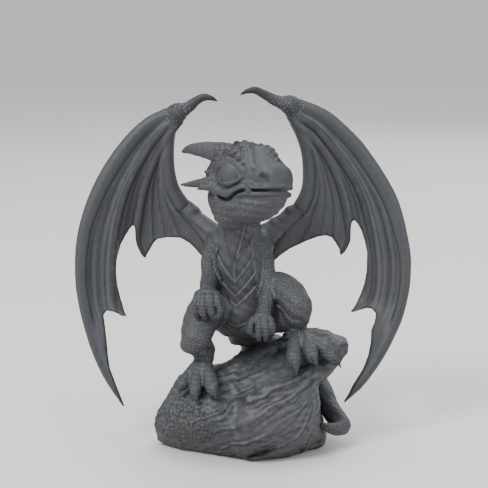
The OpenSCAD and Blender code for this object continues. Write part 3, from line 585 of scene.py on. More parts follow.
# Right arm, the hand resting on the thigh
body.add("right_arm", ball((-6.9, 0.9, 53.8), 2.6), 1.4)
body.tube("right_arm", [(-7.4, 0.9, 54.0, 2.4), (-8.9, 0.0, 51.0, 1.95), (-9.1, -1.2, 47.8, 1.9),
                        (-8.8, -3.0, 45.6, 2.15), (-9.1, -6.4, 44.4, 2.05), (-9.2, -9.6, 43.8, 1.9)], 0.3)
hand("right_arm", (-9.1, -12.0, 42.9), (3.5, 2.3, 2.1), [
    [(-11.6, -13.4, 42.8, 1.0), (-12.1, -14.7, 41.2, 0.98), (-12.0, -14.8, 39.4, 0.9),
     (-11.6, -14.2, 38.2, 0.74)],
    [(-10.0, -14.0, 43.1, 1.05), (-10.2, -15.4, 41.2, 1.02), (-10.1, -15.4, 39.2, 0.95),
     (-9.7, -14.7, 37.9, 0.78)],
    [(-8.2, -14.0, 43.1, 1.05), (-8.2, -15.4, 41.3, 1.02), (-8.0, -15.4, 39.4, 0.95),
     (-7.7, -14.7, 38.1, 0.78)],
    [(-6.6, -13.4, 42.8, 0.98), (-6.3, -14.6, 41.2, 0.95), (-5.8, -14.7, 39.6, 0.9),
     (-6.4, -14.6, 38.1, 0.76)]],
    [(-6.5, -11.4, 42.2, 1.1), (-5.3, -12.4, 40.7, 0.95), (-5.3, -13.4, 39.2, 0.8)])


def toe(part, rows, claw):
    """A toe with a thick last joint, its claw, and the cuff of skin round the claw's root."""
    joint, root = rows[-2:]
    body.tube(part, rows, 0.5)
    body.add(part, ball(joint[:3], joint[3] * JOINT), 0.35)
    body.tube(part, claw, 0.12)
    body.add(part, ball(root[:3], root[3] * JOINT), 0.3)


# Left leg, folded high with the knee out to the side
body.add("left_leg", pad((5.4, 4.4, 37.0), (5.6, 5.6, 6.4)), 1.8)
body.tube("left_leg", [(6.4, 3.6, 37.6, 6.0), (9.2, 0.0, 41.2, 5.4), (12.1, -4.4, 41.2, 4.5),
                       (14.2, -8.6, 39.4, 3.7)], 0.4)
body.tube("left_leg", [(6.0, 3.0, 34.6, 5.4), (9.6, -0.8, 35.0, 4.4), (12.6, -4.6, 35.4, 3.4),
                       (14.2, -7.6, 36.6, 3.2)], 1.4)
body.tube("left_leg", [(14.2, -8.2, 37.6, 3.3), (14.4, -6.8, 34.6, 2.5), (14.4, -7.0, 32.2, 2.1),
                       (14.7, -9.4, 30.8, 2.2)], 0.5)
# The crease between thigh and shin
body.cut_tube([(8.6, -5.9, 40.2, 0.5), (10.6, -8.3, 38.4, 0.65), (12.4, -10.3, 36.9, 0.65),
               (14.9, -11.6, 36.0, 0.35)], 0.7)
body.add("left_leg", pad((15.0, -10.4, 30.4), (3.5, 2.6, 1.9)), 0.8)
toe("left_leg", [(13.9, -9.8, 31.6, 1.7), (13.2, -13.0, 30.0, 1.75), (13.0, -15.6, 28.0, 1.85),
                 (13.1, -16.8, 26.7, 1.45)],
    [(13.1, -16.2, 27.6, 1.3), (13.3, -18.4, 26.4, 1.0), (13.5, -19.1, 23.7, 0.12)])
toe("left_leg", [(15.2, -9.8, 31.6, 1.7), (16.4, -12.5, 30.4, 1.65), (17.2, -14.6, 28.8, 1.8),
                 (17.6, -15.6, 27.6, 1.35)],
    [(17.6, -15.1, 28.5, 1.15), (18.2, -17.1, 27.8, 0.85), (18.7, -17.7, 25.4, 0.12)])
toe("left_leg", [(16.1, -9.2, 31.4, 1.5), (18.7, -10.9, 30.2, 1.45), (21.2, -12.4, 28.6, 1.6),
                 (22.2, -13.2, 27.4, 1.2)],
    [(22.0, -12.9, 28.0, 1.1), (23.8, -14.2, 26.9, 0.8), (25.1, -14.6, 24.6, 0.12)])
# Right leg, reaching forward and down
body.add("right_leg", pad((-4.6, 4.2, 36.0), (5.4, 5.6, 6.2)), 1.8)
body.tube("right_leg", [(-5.0, 3.4, 35.8, 6.0), (-8.8, -3.0, 37.4, 5.1), (-11.0, -9.4, 35.2, 4.5),
                        (-12.0, -13.4, 32.4, 3.8)], 0.4)
body.tube("right_leg", [(-12.0, -12.8, 31.2, 3.4), (-10.4, -10.2, 28.6, 3.1), (-10.0, -9.6, 26.2, 2.5),
                        (-10.3, -11.6, 24.2, 2.3)], 0.2)
# The knee's outer bulge and the crease beneath it
body.add("right_leg", pad((-13.4, -13.2, 30.2), (2.7, 2.4, 2.0)), 0.8)
body.cut_tube([(-11.6, -14.9, 27.5, 0.4), (-9.6, -13.7, 29.2, 0.6), (-8.2, -12.2, 31.0, 0.35)], 0.6)
body.add("right_leg", pad((-10.5, -12.6, 23.6), (3.3, 2.6, 1.9)), 0.8)
toe("right_leg", [(-10.9, -11.6, 24.8, 1.6), (-11.6, -14.2, 23.0, 1.5), (-12.0, -16.2, 20.8, 1.65),
                  (-12.0, -17.1, 19.2, 1.25)],
    [(-12.0, -16.7, 20.1, 1.15), (-11.9, -18.5, 18.9, 0.85), (-11.8, -18.9, 16.4, 0.12)])
toe("right_leg", [(-9.7, -11.8, 24.6, 1.8), (-8.8, -14.6, 23.2, 1.75), (-8.1, -16.6, 21.2, 1.85),
                  (-7.8, -17.6, 19.8, 1.4)],
    [(-7.8, -17.2, 20.6, 1.25), (-7.2, -18.9, 19.7, 0.9), (-6.7, -19.2, 17.4, 0.12)])
toe("right_leg", [(-11.6, -11.0, 24.6, 1.5), (-13.4, -12.6, 23.1, 1.4), (-14.8, -14.0, 21.2, 1.5),
                  (-15.3, -14.6, 20.0, 1.15)],
    [(-15.3, -14.3, 20.6, 1.05), (-15.9, -15.6, 19.7, 0.8), (-16.2, -15.8, 18.1, 0.12)])
# Upper wing arms, each ending in a spur at the elbow
body.tube("left_wing_arm", [(2.4, 3.8, 52.6, 3.8), (6.6, 6.2, 55.8, 3.0), (11.0, 8.2, 58.8, 2.4),
                            (14.4, 9.0, 61.2, 2.1)], 2.2)
body.tube("left_wing_arm", [(12.8, 8.8, 60.8, 2.2), (14.6, 8.9, 63.6, 0.35)], 0.5)
body.tube("right_wing_arm", [(-4.2, 3.8, 52.6, 3.8), (-8.0, 6.2, 55.9, 3.0), (-11.8, 8.2, 58.9, 2.4),
                             (-15.0, 9.0, 61.5, 2.1)], 2.2)
body.tube("right_wing_arm", [(-13.4, 8.8, 61.2, 2.2), (-15.0, 8.9, 64.6, 0.35)], 0.5)
# Tail, down the back of the rock and round its left side
body.tube("tail", [(1.8, 8.4, 30.6, 4.6), (2.6, 13.2, 27.6, 4.1), (3.6, 19.0, 20.2, 3.8),
                   (5.2, 23.0, 12.4, 3.4), (8.6, 24.4, 6.9, 3.0), (13.0, 22.5, 6.5, 2.75)], 2.0, steps=8)
body.tube("tail_tip", [(13.0, 22.5, 6.5, 2.75), (18.2, 19.2, 9.8, 2.7), (21.0, 12.6, 12.9, 2.5),
                       (22.4, 7.2, 11.4, 2.4), (23.4, 2.6, 8.8, 2.7), (25.3, -1.4, 6.8, 2.6),
                       (26.4, -4.2, 5.8, 2.3), (25.0, -6.8, 5.8, 1.8), (22.8, -8.6, 6.6, 1.3),
                       (20.6, -9.6, 7.8, 0.5)], 0.3, steps=8)


CHEST_TURN = math.radians(12)    # how far the chest's middle line is turned
CHEST_ROUND = 7.0                # mm, the radius that turns angles about the trunk into distances
# The lowest point of each chest plate from the top down (mm up), and the slope of its sides
PLATE_TIPS = [(49.9, 1.35), (44.6, 1.1), (40.9, 0.95), (38.4, 0.85), (32.9, 0.62)]
LOWEST_RIDGE = 43                # mm up; plates below this have no ridge
PLATES_AT = [30, 34, 39, 45, 56, 62]
PLATES_WIDE = [3.6, 6.0, 7.2, 7.0, 6.2, 5.2]
BELLY_WIDE = [6.0, 8.4, 8.6, 7.8, 6.8, 5.8]


def on_chest(p):
    """Arc distance in mm from the chest's middle line."""
    ups = [row[0] for row in TORSO_ROWS]
    cx = np.interp(p[:, 2], ups, [row[1] for row in TORSO_ROWS])
    cy = np.interp(p[:, 2], ups, [row[2] for row in TORSO_ROWS])
    around = np.arctan2(p[:, 0] - cx, -(p[:, 1] - cy)) + CHEST_TURN
    around = (around + math.pi) % (2 * math.pi) - math.pi
    return around * CHEST_ROUND


def chest_plates(p):
    """Overlapping V plates: each swells towards its lower edge and ends in a sharp lip."""
    arc = on_chest(p)
    wide = np.interp(p[:, 2], PLATES_AT, PLATES_WIDE)
    wide_mask = 1 - smooth(np.abs(arc), wide - 0.5, wide + 0.35)
    out = np.zeros(len(p))
    done = np.zeros(len(p), bool)
    for tip, slope in PLATE_TIPS:
        top = tip == PLATE_TIPS[0][0]
        # The top plate slopes more on one side, and its ridge leans
        skew = np.where(arc > 0, 0.85, 1.3) if top else 1
        middle = 0.36 * np.maximum(p[:, 2] - tip, 0) if top else 0
        edge = p[:, 2] - slope * np.abs(arc) * skew - tip
        inside = (edge > 0) & ~done
        lip = 0.2 + 0.75 * np.exp(-np.maximum(edge, 0) / 1.6) * smooth(edge, 0.0, 0.25)
        ridge = 0.4 * np.exp(-((arc - middle) / 0.5) ** 2)
        if top:
            lip = 0.6 * lip + 0.3 * np.exp(-((edge - 0.35) / 0.28) ** 2)
        out = np.where(inside, lip + ridge * (tip > LOWEST_RIDGE), out)
        done |= inside
    return np.where(done, out, 0.1) * wide_mask


def pebbles(p, size, seed):
    """Close-packed rounded scales, size mm across, from 0 between them to 1 at their middles."""
    near, second = cells(p / size, seed)
    return smooth(second - near, 0.02, 0.42) * (1 - 0.55 * near)


def near_any(p, places):
    """1 close to any of the (x, y, z, radius) places, fading to 0 outside."""
    out = np.zeros(len(p))
    for x, y, z, r in places:
        d = np.sqrt(((p - (x, y, z)) ** 2).sum(1))
        out = np.maximum(out, 1 - smooth(d, r * 0.75, r * 1.15))
    return out


# Fingers and toes, which have creases in place of scales: (x, y, z, radius)
BARE = [(5.1, -12, 33.5, 5.6), (-9.2, -13.4, 39.8, 5.8), (14.2, -16.2, 27, 6.6), (18.5, -14, 28, 5.0),
        (22.5, -13, 26.5, 4.5), (-12.2, -16.4, 20.5, 5.4), (-8.4, -16.6, 20.8, 5.2), (-14.6, -14, 21, 4.6)]
SCALE_DEPTH = 0.14    # mm
SCALE_SHARE = {"left_wing_arm": 0.35, "right_wing_arm": 0.35, "tail": 0.8, "tail_tip": 0.8}


def skin_relief(p, part):
    """How far in mm the body's skin stands out at each point."""
    bare = near_any(p, BARE)
    amount = SCALE_DEPTH * (1 - bare) * SCALE_SHARE.get(part, 1)
    if part == "torso":
        wide = np.interp(p[:, 2], PLATES_AT, BELLY_WIDE)
        belly = (1 - smooth(np.abs(on_chest(p)), wide - 0.6, wide + 0.6)) * (p[:, 1] < 4)
        amount = amount * (1 - belly)
    out = amount * (pebbles(p, 0.82, 3) * 1.25 - 0.5)
    out += 0.10 * fractal(p / 2.6, 3, 5)
    # Long soft folds of skin over the muscles
    slant = 4.2 * (p[:, 2] * 0.5 + p[:, 0] * 0.35)
    out += 0.07 * (1 - bare) * np.sin(slant + 3 * fractal(p / 5.0, 2, 9))
    # Faint creases across the fingers and toes
    out += bare * 0.04 * np.sin(p[:, 2] * 7.0 + 2.5 * value_noise(p / 1.3, 8))
    if part == "torso":
        out += chest_plates(p)
    return out


# Each part's grid: low corner, high corner and voxel size in mm
BODY_BOXES = {
    "torso": ((-11, -12, 26), (11, 13, 68), 0.22),
    "left_arm": ((-1, -17, 27), (12, 6, 58), 0.17),
    "right_arm": ((-16, -19, 34), (-2, 6, 58), 0.17),
    "left_leg": ((-2, -22, 20), (28, 13, 48), 0.2),
    "right_leg": ((-19, -22, 13), (5, 12, 44), 0.2),
    "left_wing_arm": ((-3, -2, 47), (18, 13, 67), 0.22),
    "right_wing_arm": ((-19, -2, 47), (2, 13, 67), 0.22),
    "tail": ((-5, 2, 1), (17, 30, 37), 0.24),
    "tail_tip": ((10, -12, 1), (31, 26, 18), 0.22),
}
COARSE = 1.0


def sculpt(clay, part, box, relief, place=None):
    """Meshes one part of the clay, adds its relief and builds it; place moves it into the world."""
    lo, hi, h = box
    points, quads = clay.work(Grid(lo, hi, h * COARSE), part).mesh()
    points = relax(points, quads, 2)
    points = points + normals_of(points, quads) * relief(points, part)[:, None]
    if place:
        points = place(points)
    build(part + "_sculpt", points, quads, [part])


for part, box in BODY_BOXES.items():
    sculpt(body, part, box, skin_relief)


# ---------- head and horns, sculpted square-on and then turned: x is out, y is back, z is up ----------
SKULL = vec(-0.8, -6.0, 72.4)
TURN = rot(2, 55) @ rot(1, 9) @ rot(0, -13)


def to_world(p):
    """Points of the square-on head, in the model's own place."""
    return SKULL + p @ TURN.T


def both(rows):
    """The same rows on the left and on the right side of the face."""
    return [[(side * r[0], *r[1:]) for r in rows] for side in (1, -1)]


def face_tube(rows, k):
    for mirrored in both(rows):
        head.tube("head", mirrored, k)


def face_cut(rows, k):
    for mirrored in both(rows):
        head.cut_tube(mirrored, k)


def face_pad(x, y, z, radii, k, turn=None):
    for side in (1, -1):
        head.add("head", pad((side * x, y, z), radii, turn), k)


def lofted(rows):
    """(ahead, up, half width, half height) rows turned into a loft along y."""
    return [(-f, 0.0, u, w, h) for f, u, w, h in rows]


head = Clay()
SKULL_ROWS = [(-7, 0.5, 4.2, 4.6), (-4, 1.2, 6.4, 6.2), (0, 1.4, 7.2, 6.9), (3.1, 1.6, 6.9, 7.1),
              (6.5, 0.9, 6.1, 6.2), (9.2, 0.3, 5.5, 5.6), (11.0, -0.9, 5.0, 4.7), (12.6, -2.1, 4.5, 3.5)]
JAW_ROWS = [(-6, -4.5, 5.2, 4.0), (-1.5, -6.1, 7.0, 5.3), (3, -6.7, 6.8, 5.4), (7, -7.1, 5.6, 4.3),
            (9.4, -6.9, 4.7, 3.3), (11.2, -6.6, 3.9, 2.1), (12.0, -6.4, 3.4, 1.4)]
head.add("head", loft(lofted(SKULL_ROWS), axis=1, power=2.4, caps=(0.4, 0.45)))
head.add("head", loft(lofted(JAW_ROWS), axis=1, power=2.2, caps=(0.6, 0.6)), 0.5)
# Neck stub that sinks into the trunk
head.add("head", pad((0, 3.5, -7.5), (5.6, 4.6, 5.5)), 1.5)
# The line between the lips, from the front to behind the corner
MOUTH = [(0.0, -14.3, -5.35), (1.9, -14.0, -5.34), (3.2, -13.1, -5.3), (4.3, -11.8, -5.2),
         (5.3, -9.8, -5.0), (5.9, -8, -4.75), (6.25, -6.4, -4.45), (6.5, -5, -4.4), (6.7, -3.6, -4.65),
         (6.85, -2, -5.35), (6.9, -0.6, -5.85), (6.75, 0.9, -5.5), (6.3, 2.5, -4.6)]
# Lower lip
face_tube([(x, y * 0.91, z - 0.95, 0.85) for x, y, z in MOUTH[:9]] + [(6.3, -2, -6.5, 0.7)], 0.5)
# Upper lip
face_tube([(x * 0.93, y, z + 0.75, 0.5) for x, y, z in MOUTH[1:8]], 1.2)
# Corner of the snout
face_pad(3.0, -11.5, -1.5, (1.8, 1.8, 2.6), 1.3)
# Cheek roll over the corner of the mouth
face_tube([(5.6, -6.4, -3.3, 0.8), (6.2, -3.9, -3.6, 1.1), (6.5, -1.6, -4.3, 1.2), (6.5, 0.6, -4.1, 1.2),
           (6.3, 2.4, -3.2, 1.3), (6.4, 4.2, -2.0, 1.3)], 0.9)
# Fold under the corner of the mouth
face_tube([(6.0, 1.2, -7.3, 0.9), (6.2, -1.0, -7.7, 1.0), (6.1, -3.4, -7.0, 0.9),
           (5.6, -6.0, -6.6, 0.7)], 0.8)
# The throat is drawn in under the lip
face_cut([(x + 0.5 - 0.03 * abs(y), y * 0.925, z - 2.15, 0.55) for x, y, z in MOUTH[1:8]], 0.8)
# The mouth is a slot that a row of tubes cuts, from outside the lips inwards
for inset, size in ((-0.7, 0.3), (0.0, 0.34), (0.35, 0.28), (0.7, 0.24), (1.05, 0.2)):
    face_cut([(x - inset * min(1, x / 2), y + inset * max(0, 1 - x / 4.5), z,
               size * (1.5 if y > -5.5 else 1.0)) for x, y, z in MOUTH], 0.12)
# Eye in its socket
EYE = (4.4, -1.4, 0.65)
for side in (1, -1):
    head.cut(pad((side * 7.5, -1.6, 0.6), (1.5, 3.3, 2.6)), 0.4)
    head.add("head", ball((side * EYE[0], *EYE[1:]), 3.72))
LID = [(6.1, -5.5, -0.75), (6.75, -4.2, 1.5), (7.15, -1.9, 3.2), (7.2, 0.6, 2.9), (7.15, 2.0, 1.2),
       (7.25, 1.6, -1.0), (7.25, -0.9, -2.2), (6.95, -3.4, -1.9), (6.1, -5.5, -0.75)]
face_tube([(*p, 0.38) for p in LID], 0.18)
# Outer fold over the lid
face_tube([(6.2, -5.9, 0.1, 0.35), (6.8, -4.1, 2.3, 0.45), (7.1, -1.7, 4.1, 0.5), (7.1, 0.9, 4.0, 0.5),
           (7.0, 2.9, 2.2, 0.45), (6.9, 3.2, -0.4, 0.3)], 0.5)
# Brow: a knobbed ridge from the horn down to the front corner of the eye
face_tube([(5.6, 2.2, 5.6, 1.0), (5.9, 0, 5.6, 1.25), (5.9, -2.0, 5.3, 1.25), (5.8, -3.9, 4.3, 1.05),
           (5.9, -5.3, 2.6, 0.75), (5.8, -6.3, 1.0, 0.5)], 0.7)
KNOBS = [(6.7, 0.9, 5.8, 1.2), (6.8, -1.2, 5.8, 1.25), (6.7, -3.2, 5.0, 1.2), (6.5, -4.8, 3.6, 1.0),
         (6.3, -5.9, 2.2, 0.7), (5.2, -1.6, 7.2, 1.3), (5.2, -3.8, 6.3, 1.2), (5.3, -5.5, 4.7, 0.85),
         (3.8, -2.9, 7.9, 1.1)]
for x, y, z, r in KNOBS:
    face_pad(x, y, z, (r, r * 0.8, r * 0.8), 0.3, rot(0, 35))
# Ridges running from the crown to the nostril, with hollows between
face_tube([(3.0, -2.6, 8.0, 0.9), (3.4, -4.5, 7.2, 0.85), (4.6, -6.0, 4.9, 0.75), (5.4, -7.0, 2.6, 0.6),
           (5.6, -8.2, 0.8, 0.45)], 0.6)
face_tube([(2.2, -6.0, 7.2, 0.8), (3.2, -7.6, 5.6, 0.7), (4.2, -8.7, 3.4, 0.6),
           (4.8, -9.3, 1.4, 0.45)], 0.6)
face_cut([(2.5, -3.4, 9.5, 0.8), (4.0, -5.5, 7.6, 1.2), (5.5, -7.1, 4.9, 1.25), (6.4, -8.1, 2.2, 0.9)], 0.9)
face_cut([(2.6, -7.7, 8.1, 0.7), (3.8, -9.3, 6.3, 1.0), (5.2, -10.2, 3.9, 1.05),
          (5.9, -10.6, 2.1, 0.7)], 0.9)
# Nostril under an arched rim
face_tube([(5.3, -9.6, -1.2, 0.3), (5.35, -10.4, -0.75, 0.45), (5.2, -11.3, -0.9, 0.6),
           (5.05, -11.9, -1.7, 0.55), (5.0, -11.9, -2.6, 0.35)], 0.4)
face_cut([(5.3, -10.0, -1.5, 0.3), (5.1, -10.7, -1.45, 0.62), (5.0, -11.2, -1.75, 0.5)], 0.1)
# Knobs along the bridge of the nose and over the crown
BRIDGE = [(1.5, 7.9, 1.0), (-0.6, 8.3, 1.0), (-2.6, 8.4, 1.05), (-4.6, 7.7, 0.9), (-6.4, 6.9, 0.8),
          (-7.9, 6.5, 1.0), (-9.3, 6.1, 1.1), (-10.5, 5.3, 1.0), (-11.4, 4.1, 0.85), (-12.0, 2.8, 0.65),
          (-12.6, 1.6, 0.5)]
for y, z, r in BRIDGE:
    head.add("head", pad((0, y, z - 0.15), (r * 1.1, r * 0.85, r)), 0.35)
# Cheek spikes
face_tube([(6.4, 4.2, -0.6, 1.7), (7.3, 6.3, -0.6, 1.2), (8.2, 9.2, -0.6, 0.8),
           (9.0, 11.9, -0.4, 0.32)], 0.7)
face_tube([(6.5, 3.0, -2.0, 1.2), (7.5, 5.0, -2.1, 0.8), (8.5, 7.8, -2.1, 0.14)], 0.5)
face_tube([(6.3, 3.8, 1.8, 0.9), (6.7, 5.0, 2.0, 0.6), (6.9, 5.9, 2.2, 0.2)], 0.4)
# Boss that each horn grows from
face_pad(5.0, 0.2, 5.6, (2.7, 3.2, 2.5), 0.8)
# A tooth that stands up from the lower lip
face_tube([(6.6, -6.8, -4.9, 0.8), (6.95, -6.5, -3.8, 0.55), (7.0, -6.2, -2.3, 0.08)], 0.1)
HORN = [(5.3, 0.6, 6.0, 2.75), (5.55, 3.6, 7.15, 2.4), (5.9, 7.3, 8.2, 1.85), (6.2, 10.2, 8.75, 1.25),
        (6.5, 12.5, 8.5, 0.35)]
for name, rows in zip(("left_horn", "right_horn"), both(HORN)):
    head.tube(name, rows, 0.35)


EYE_EDGE = 3.81    # mm from the eye's centre, where its smooth surface ends


def head_relief(p, part):
    """How far in mm the skin of the head, or the surface of a horn, stands out at each point."""
    ax = np.abs(p[:, 0])
    out = 0.05 * fractal(p / 2.2, 3, 21)
    if part != "head":
        # A groove and long fibres round the horns, and fine growth rings
        way = p[:, 1]
        out -= 0.09 * (smooth(way, 4.2, 4.5) - smooth(way, 4.6, 5.4))
        out += 0.05 * value_noise(np.stack([ax * 1.6, way * 0.25, p[:, 2] * 1.6], 1), 31)
        return out + 0.04 * np.sin(way * 2.6 + 2 * value_noise(p / 2, 33)) * smooth(way, 4, 6)
    eye = np.sqrt((ax - EYE[0]) ** 2 + (p[:, 1] - EYE[1]) ** 2 + (p[:, 2] - EYE[2]) ** 2)
    throat = smooth(-p[:, 2], 6.2, 8.2) * smooth(p[:, 1], -14.5, -10)
    nape = smooth(p[:, 1], 2.0, 4.5)
    brow = smooth(p[:, 2], 3.4, 5.2) * smooth(p[:, 1], -8.5, -5.5) * (1 - smooth(p[:, 1], 1.0, 3.0))
    scaly = np.clip(0.9 * throat + 0.9 * nape + 0.7 * brow, 0, 1)
    out += 0.17 * scaly * (pebbles(p, 0.85, 41) * 1.25 - 0.45)
    # Cracked plates on the brow
    near, second = cells(p / 1.7, 45)
    out += 0.3 * brow * (smooth(second - near, 0.0, 0.25) - 0.7)
    # Wrinkles that run across the throat pouch
    ripple = np.sin(p[:, 2] * 3.4 - p[:, 1] * 0.9 + 1.6 * fractal(p / 3.0, 2, 43))
    out += 0.09 * throat * ripple
    return np.where(eye < EYE_EDGE, 0.0, out)


HEAD_BOXES = {"head": ((-10.5, -17.5, -13.5), (10.5, 13.5, 11), 0.168),
              "left_horn": ((1.5, -4, 2), (9.5, 14, 12), 0.14),
              "right_horn": ((-9.5, -4, 2), (-1.5, 14, 12), 0.14)}
for part, box in HEAD_BOXES.items():
    sculpt(head, part, box, head_relief, to_world)


# ---------- wings: a skin stretched between four ribs, trimmed to its scalloped outline ----------
# Rib rows are (x, z, y, radius), from the wrist outwards. The edge and the inside rows are (x, z) and
# together they bound the skin. The thumb rows are (x, y, z, radius).
LEFT_WING = {
    "lead": [(12.2, 90.5, 6.0, 1.9), (17.4, 89.1, 5.6, 1.85), (21.9, 86.9, 5.2, 1.85), (26, 83.4, 4.8, 1.9),
             (29.7, 79.6, 4.4, 2.0), (33.1, 75, 4.0, 2.05), (36.2, 70.2, 3.5, 2.1), (38.7, 65.6, 3.0, 2.1),
             (40.4, 61.1, 2.5, 2.0), (41.7, 56.2, 1.9, 1.85), (42.65, 52, 1.3, 1.7), (43.0, 48.2, 0.8, 1.6),
             (42.8, 43, 0.1, 1.5), (42, 38.4, -0.5, 1.45), (40.8, 34.1, -1.0, 1.45), (39, 29.8, -1.5, 1.4),
             (36.8, 25.3, -2.0, 1.3), (34.2, 20.8, -2.4, 1.1), (31, 16.2, -2.8, 0.8),
             (27.2, 12.2, -3.2, 0.25)],
    "f2": [(12.8, 88.6, 5.7, 1.0), (15.2, 86.6, 5.7, 0.95), (19.1, 84.1, 5.6, 0.9), (24.1, 78, 5.4, 0.85),
           (27.5, 73.1, 5.2, 0.8), (30.6, 67.6, 4.9, 0.78), (32.5, 61.8, 4.6, 0.75), (34.1, 54.3, 4.2, 0.7),
           (34.9, 47, 3.8, 0.66), (34.7, 41, 3.4, 0.62), (33.0, 37.4, 3.2, 0.5), (29.2, 35.5, 3.0, 0.2)],
    "f3": [(12.8, 87.0, 6.1, 0.95), (14.6, 84.4, 6.2, 0.85), (16.8, 82.5, 6.4, 0.8),
           (19.9, 79.4, 6.8, 0.78), (22.4, 75.7, 7.2, 0.75), (24.9, 70.7, 7.7, 0.72),
           (26.5, 66, 8.1, 0.7), (27.7, 60.4, 8.4, 0.66), (28.4, 53.9, 8.3, 0.5), (26.5, 50.2, 8.0, 0.2)],
    "forearm": [(12.4, 90.0, 6.3, 1.9), (13.7, 86.5, 6.6, 1.75), (15.8, 82, 7.0, 1.7),
                (17.3, 76.9, 7.6, 1.75), (17.8, 70.7, 8.3, 1.85), (17.3, 66.4, 8.8, 2.0),
                (15.6, 62.6, 9.1, 2.2)],
    "flank": [(12.8, 57.5, 8.7, 0.4), (9.6, 52.5, 7.9, 0.4), (6.8, 47.6, 7.0, 0.4)],
    "edge": [(27, 11.9), (29.3, 16.8), (31.9, 21), (33.2, 24.6), (33.9, 28.2), (34, 31.1), (35, 33.2),
             (35.4, 35.1), (34.4, 36.3), (32.9, 36.5), (30.8, 36), (29.1, 35.3), (30.4, 37.3),
             (31.7, 39.9), (32.6, 42.6), (33.1, 45.7), (33.2, 48.5), (33.2, 50.9), (32.6, 54),
             (31.6, 56.9), (30.7, 58.5), (29.8, 59.5), (29.2, 58.5), (28.7, 56.7), (28.5, 53.5),
             (27.5, 51), (26.4, 50), (26, 51.3), (25.1, 52.9), (24, 54.4), (22.4, 54.9), (20.2, 54.6),
             (16.7, 53.2), (12.4, 51.2), (10, 49.6), (8.1, 48)],
    "inside": [(3.5, 47), (4.5, 53), (9, 57.5), (14, 61.5), (16.5, 66), (17.4, 71), (16.9, 77),
               (15.3, 82), (13, 86), (12, 90)],
    "thumb": [(12.2, 5.9, 90.3, 1.9), (8.6, 5.5, 91.4, 1.45), (5.6, 5.2, 93.0, 1.2), (3.2, 4.9, 94.1, 0.98),
              (0.9, 4.5, 93.8, 0.6), (-0.8, 4.2, 92.9, 0.14)],
    "wrist": (12.4, 5.4, 90.2)}
RIGHT_WING = {
    "lead": [(-17.2, 88.4, 6.0, 1.9), (-21.8, 86.8, 5.6, 1.85), (-25.2, 84.9, 5.2, 1.85),
             (-28.7, 81.6, 4.8, 1.95), (-31.9, 77.7, 4.4, 2.05), (-34.9, 73.3, 4.0, 2.1),
             (-37.5, 68.6, 3.5, 2.1), (-39.5, 64.2, 3.0, 2.0), (-41.2, 59.5, 2.4, 1.85),
             (-42.2, 55.5, 1.9, 1.75), (-42.7, 51.6, 1.3, 1.7), (-42.9, 47.1, 0.7, 1.6),
             (-42.8, 43, 0.1, 1.55), (-42.0, 37.8, -0.5, 1.55), (-40.7, 32, -1.1, 1.5),
             (-39, 26.2, -1.7, 1.4), (-37, 21, -2.2, 1.25), (-34.6, 16, -2.7, 0.9),
             (-31.9, 11.1, -3.2, 0.25)],
    "f2": [(-17.0, 87.0, 5.7, 1.0), (-20.4, 84.2, 5.7, 0.95), (-24.4, 79.4, 5.6, 0.9),
           (-27.6, 74.3, 5.4, 0.85), (-30.3, 68.7, 5.1, 0.8), (-32.2, 63, 4.8, 0.76),
           (-33.6, 57, 4.4, 0.72), (-34.5, 49, 3.9, 0.66), (-34.7, 42, 3.5, 0.62),
           (-34.4, 37.4, 3.2, 0.5), (-31.5, 34.2, 3.0, 0.2)],
    "f3": [(-16.8, 85.6, 6.1, 0.95), (-19.4, 82.2, 6.3, 0.85), (-21.9, 78.2, 6.7, 0.8),
           (-24, 73.6, 7.1, 0.77), (-25.8, 68.7, 7.6, 0.74), (-27, 63.8, 8.0, 0.7),
           (-27.9, 58.5, 8.3, 0.66), (-28.3, 53.4, 8.3, 0.5), (-26.5, 49.4, 8.0, 0.2)],
    "forearm": [(-17.2, 88.0, 6.3, 1.9), (-18.6, 86, 6.6, 1.75), (-19.5, 82.4, 7.0, 1.7),
                (-20.0, 78.2, 7.5, 1.75), (-19.9, 72.4, 8.2, 1.85), (-18.8, 67.4, 8.8, 2.0),
                (-16.4, 63.2, 9.1, 2.2)],
    "flank": [(-13.2, 58, 8.7, 0.4), (-10.2, 53, 7.9, 0.4), (-8.0, 48.4, 7.0, 0.4)],
    "edge": [(-31.7, 10.7), (-33.2, 14.9), (-35.3, 21), (-35.8, 24.6), (-36.1, 28.5), (-36.6, 32.1),
             (-37.1, 34.8), (-36.3, 35.8), (-33.9, 35.3), (-31.4, 34), (-32.1, 36.5), (-32.8, 38.6),
             (-33.5, 41.8), (-33.8, 44.8), (-33.9, 47.4), (-33.6, 49.3), (-32.7, 53), (-31.5, 55.2),
             (-30.3, 57.1), (-29.4, 58), (-28.9, 57.3), (-28.4, 55), (-28, 52), (-27.4, 50.3),
             (-26.4, 49.2), (-25.7, 50.2), (-25, 51.3), (-24.1, 52.9), (-23.1, 53.9), (-20.3, 54.4),
             (-16.9, 54.3), (-14.4, 52.9), (-12.6, 51.1), (-11, 49.3)],
    "inside": [(-6, 48), (-7, 54), (-11, 58.5), (-15.5, 62.5), (-18, 67), (-19.6, 72.5), (-19.7, 78),
               (-18.8, 83), (-17.2, 88)],
    "thumb": [(-17.2, 5.9, 88.2, 1.9), (-14.4, 5.5, 89.6, 1.45), (-12.2, 5.2, 91.3, 1.2),
              (-10.1, 4.9, 92.3, 0.98), (-8.0, 4.5, 92.0, 0.6), (-6.5, 4.2, 91.2, 0.14)],
    "wrist": (-17.2, 5.4, 88.2)}


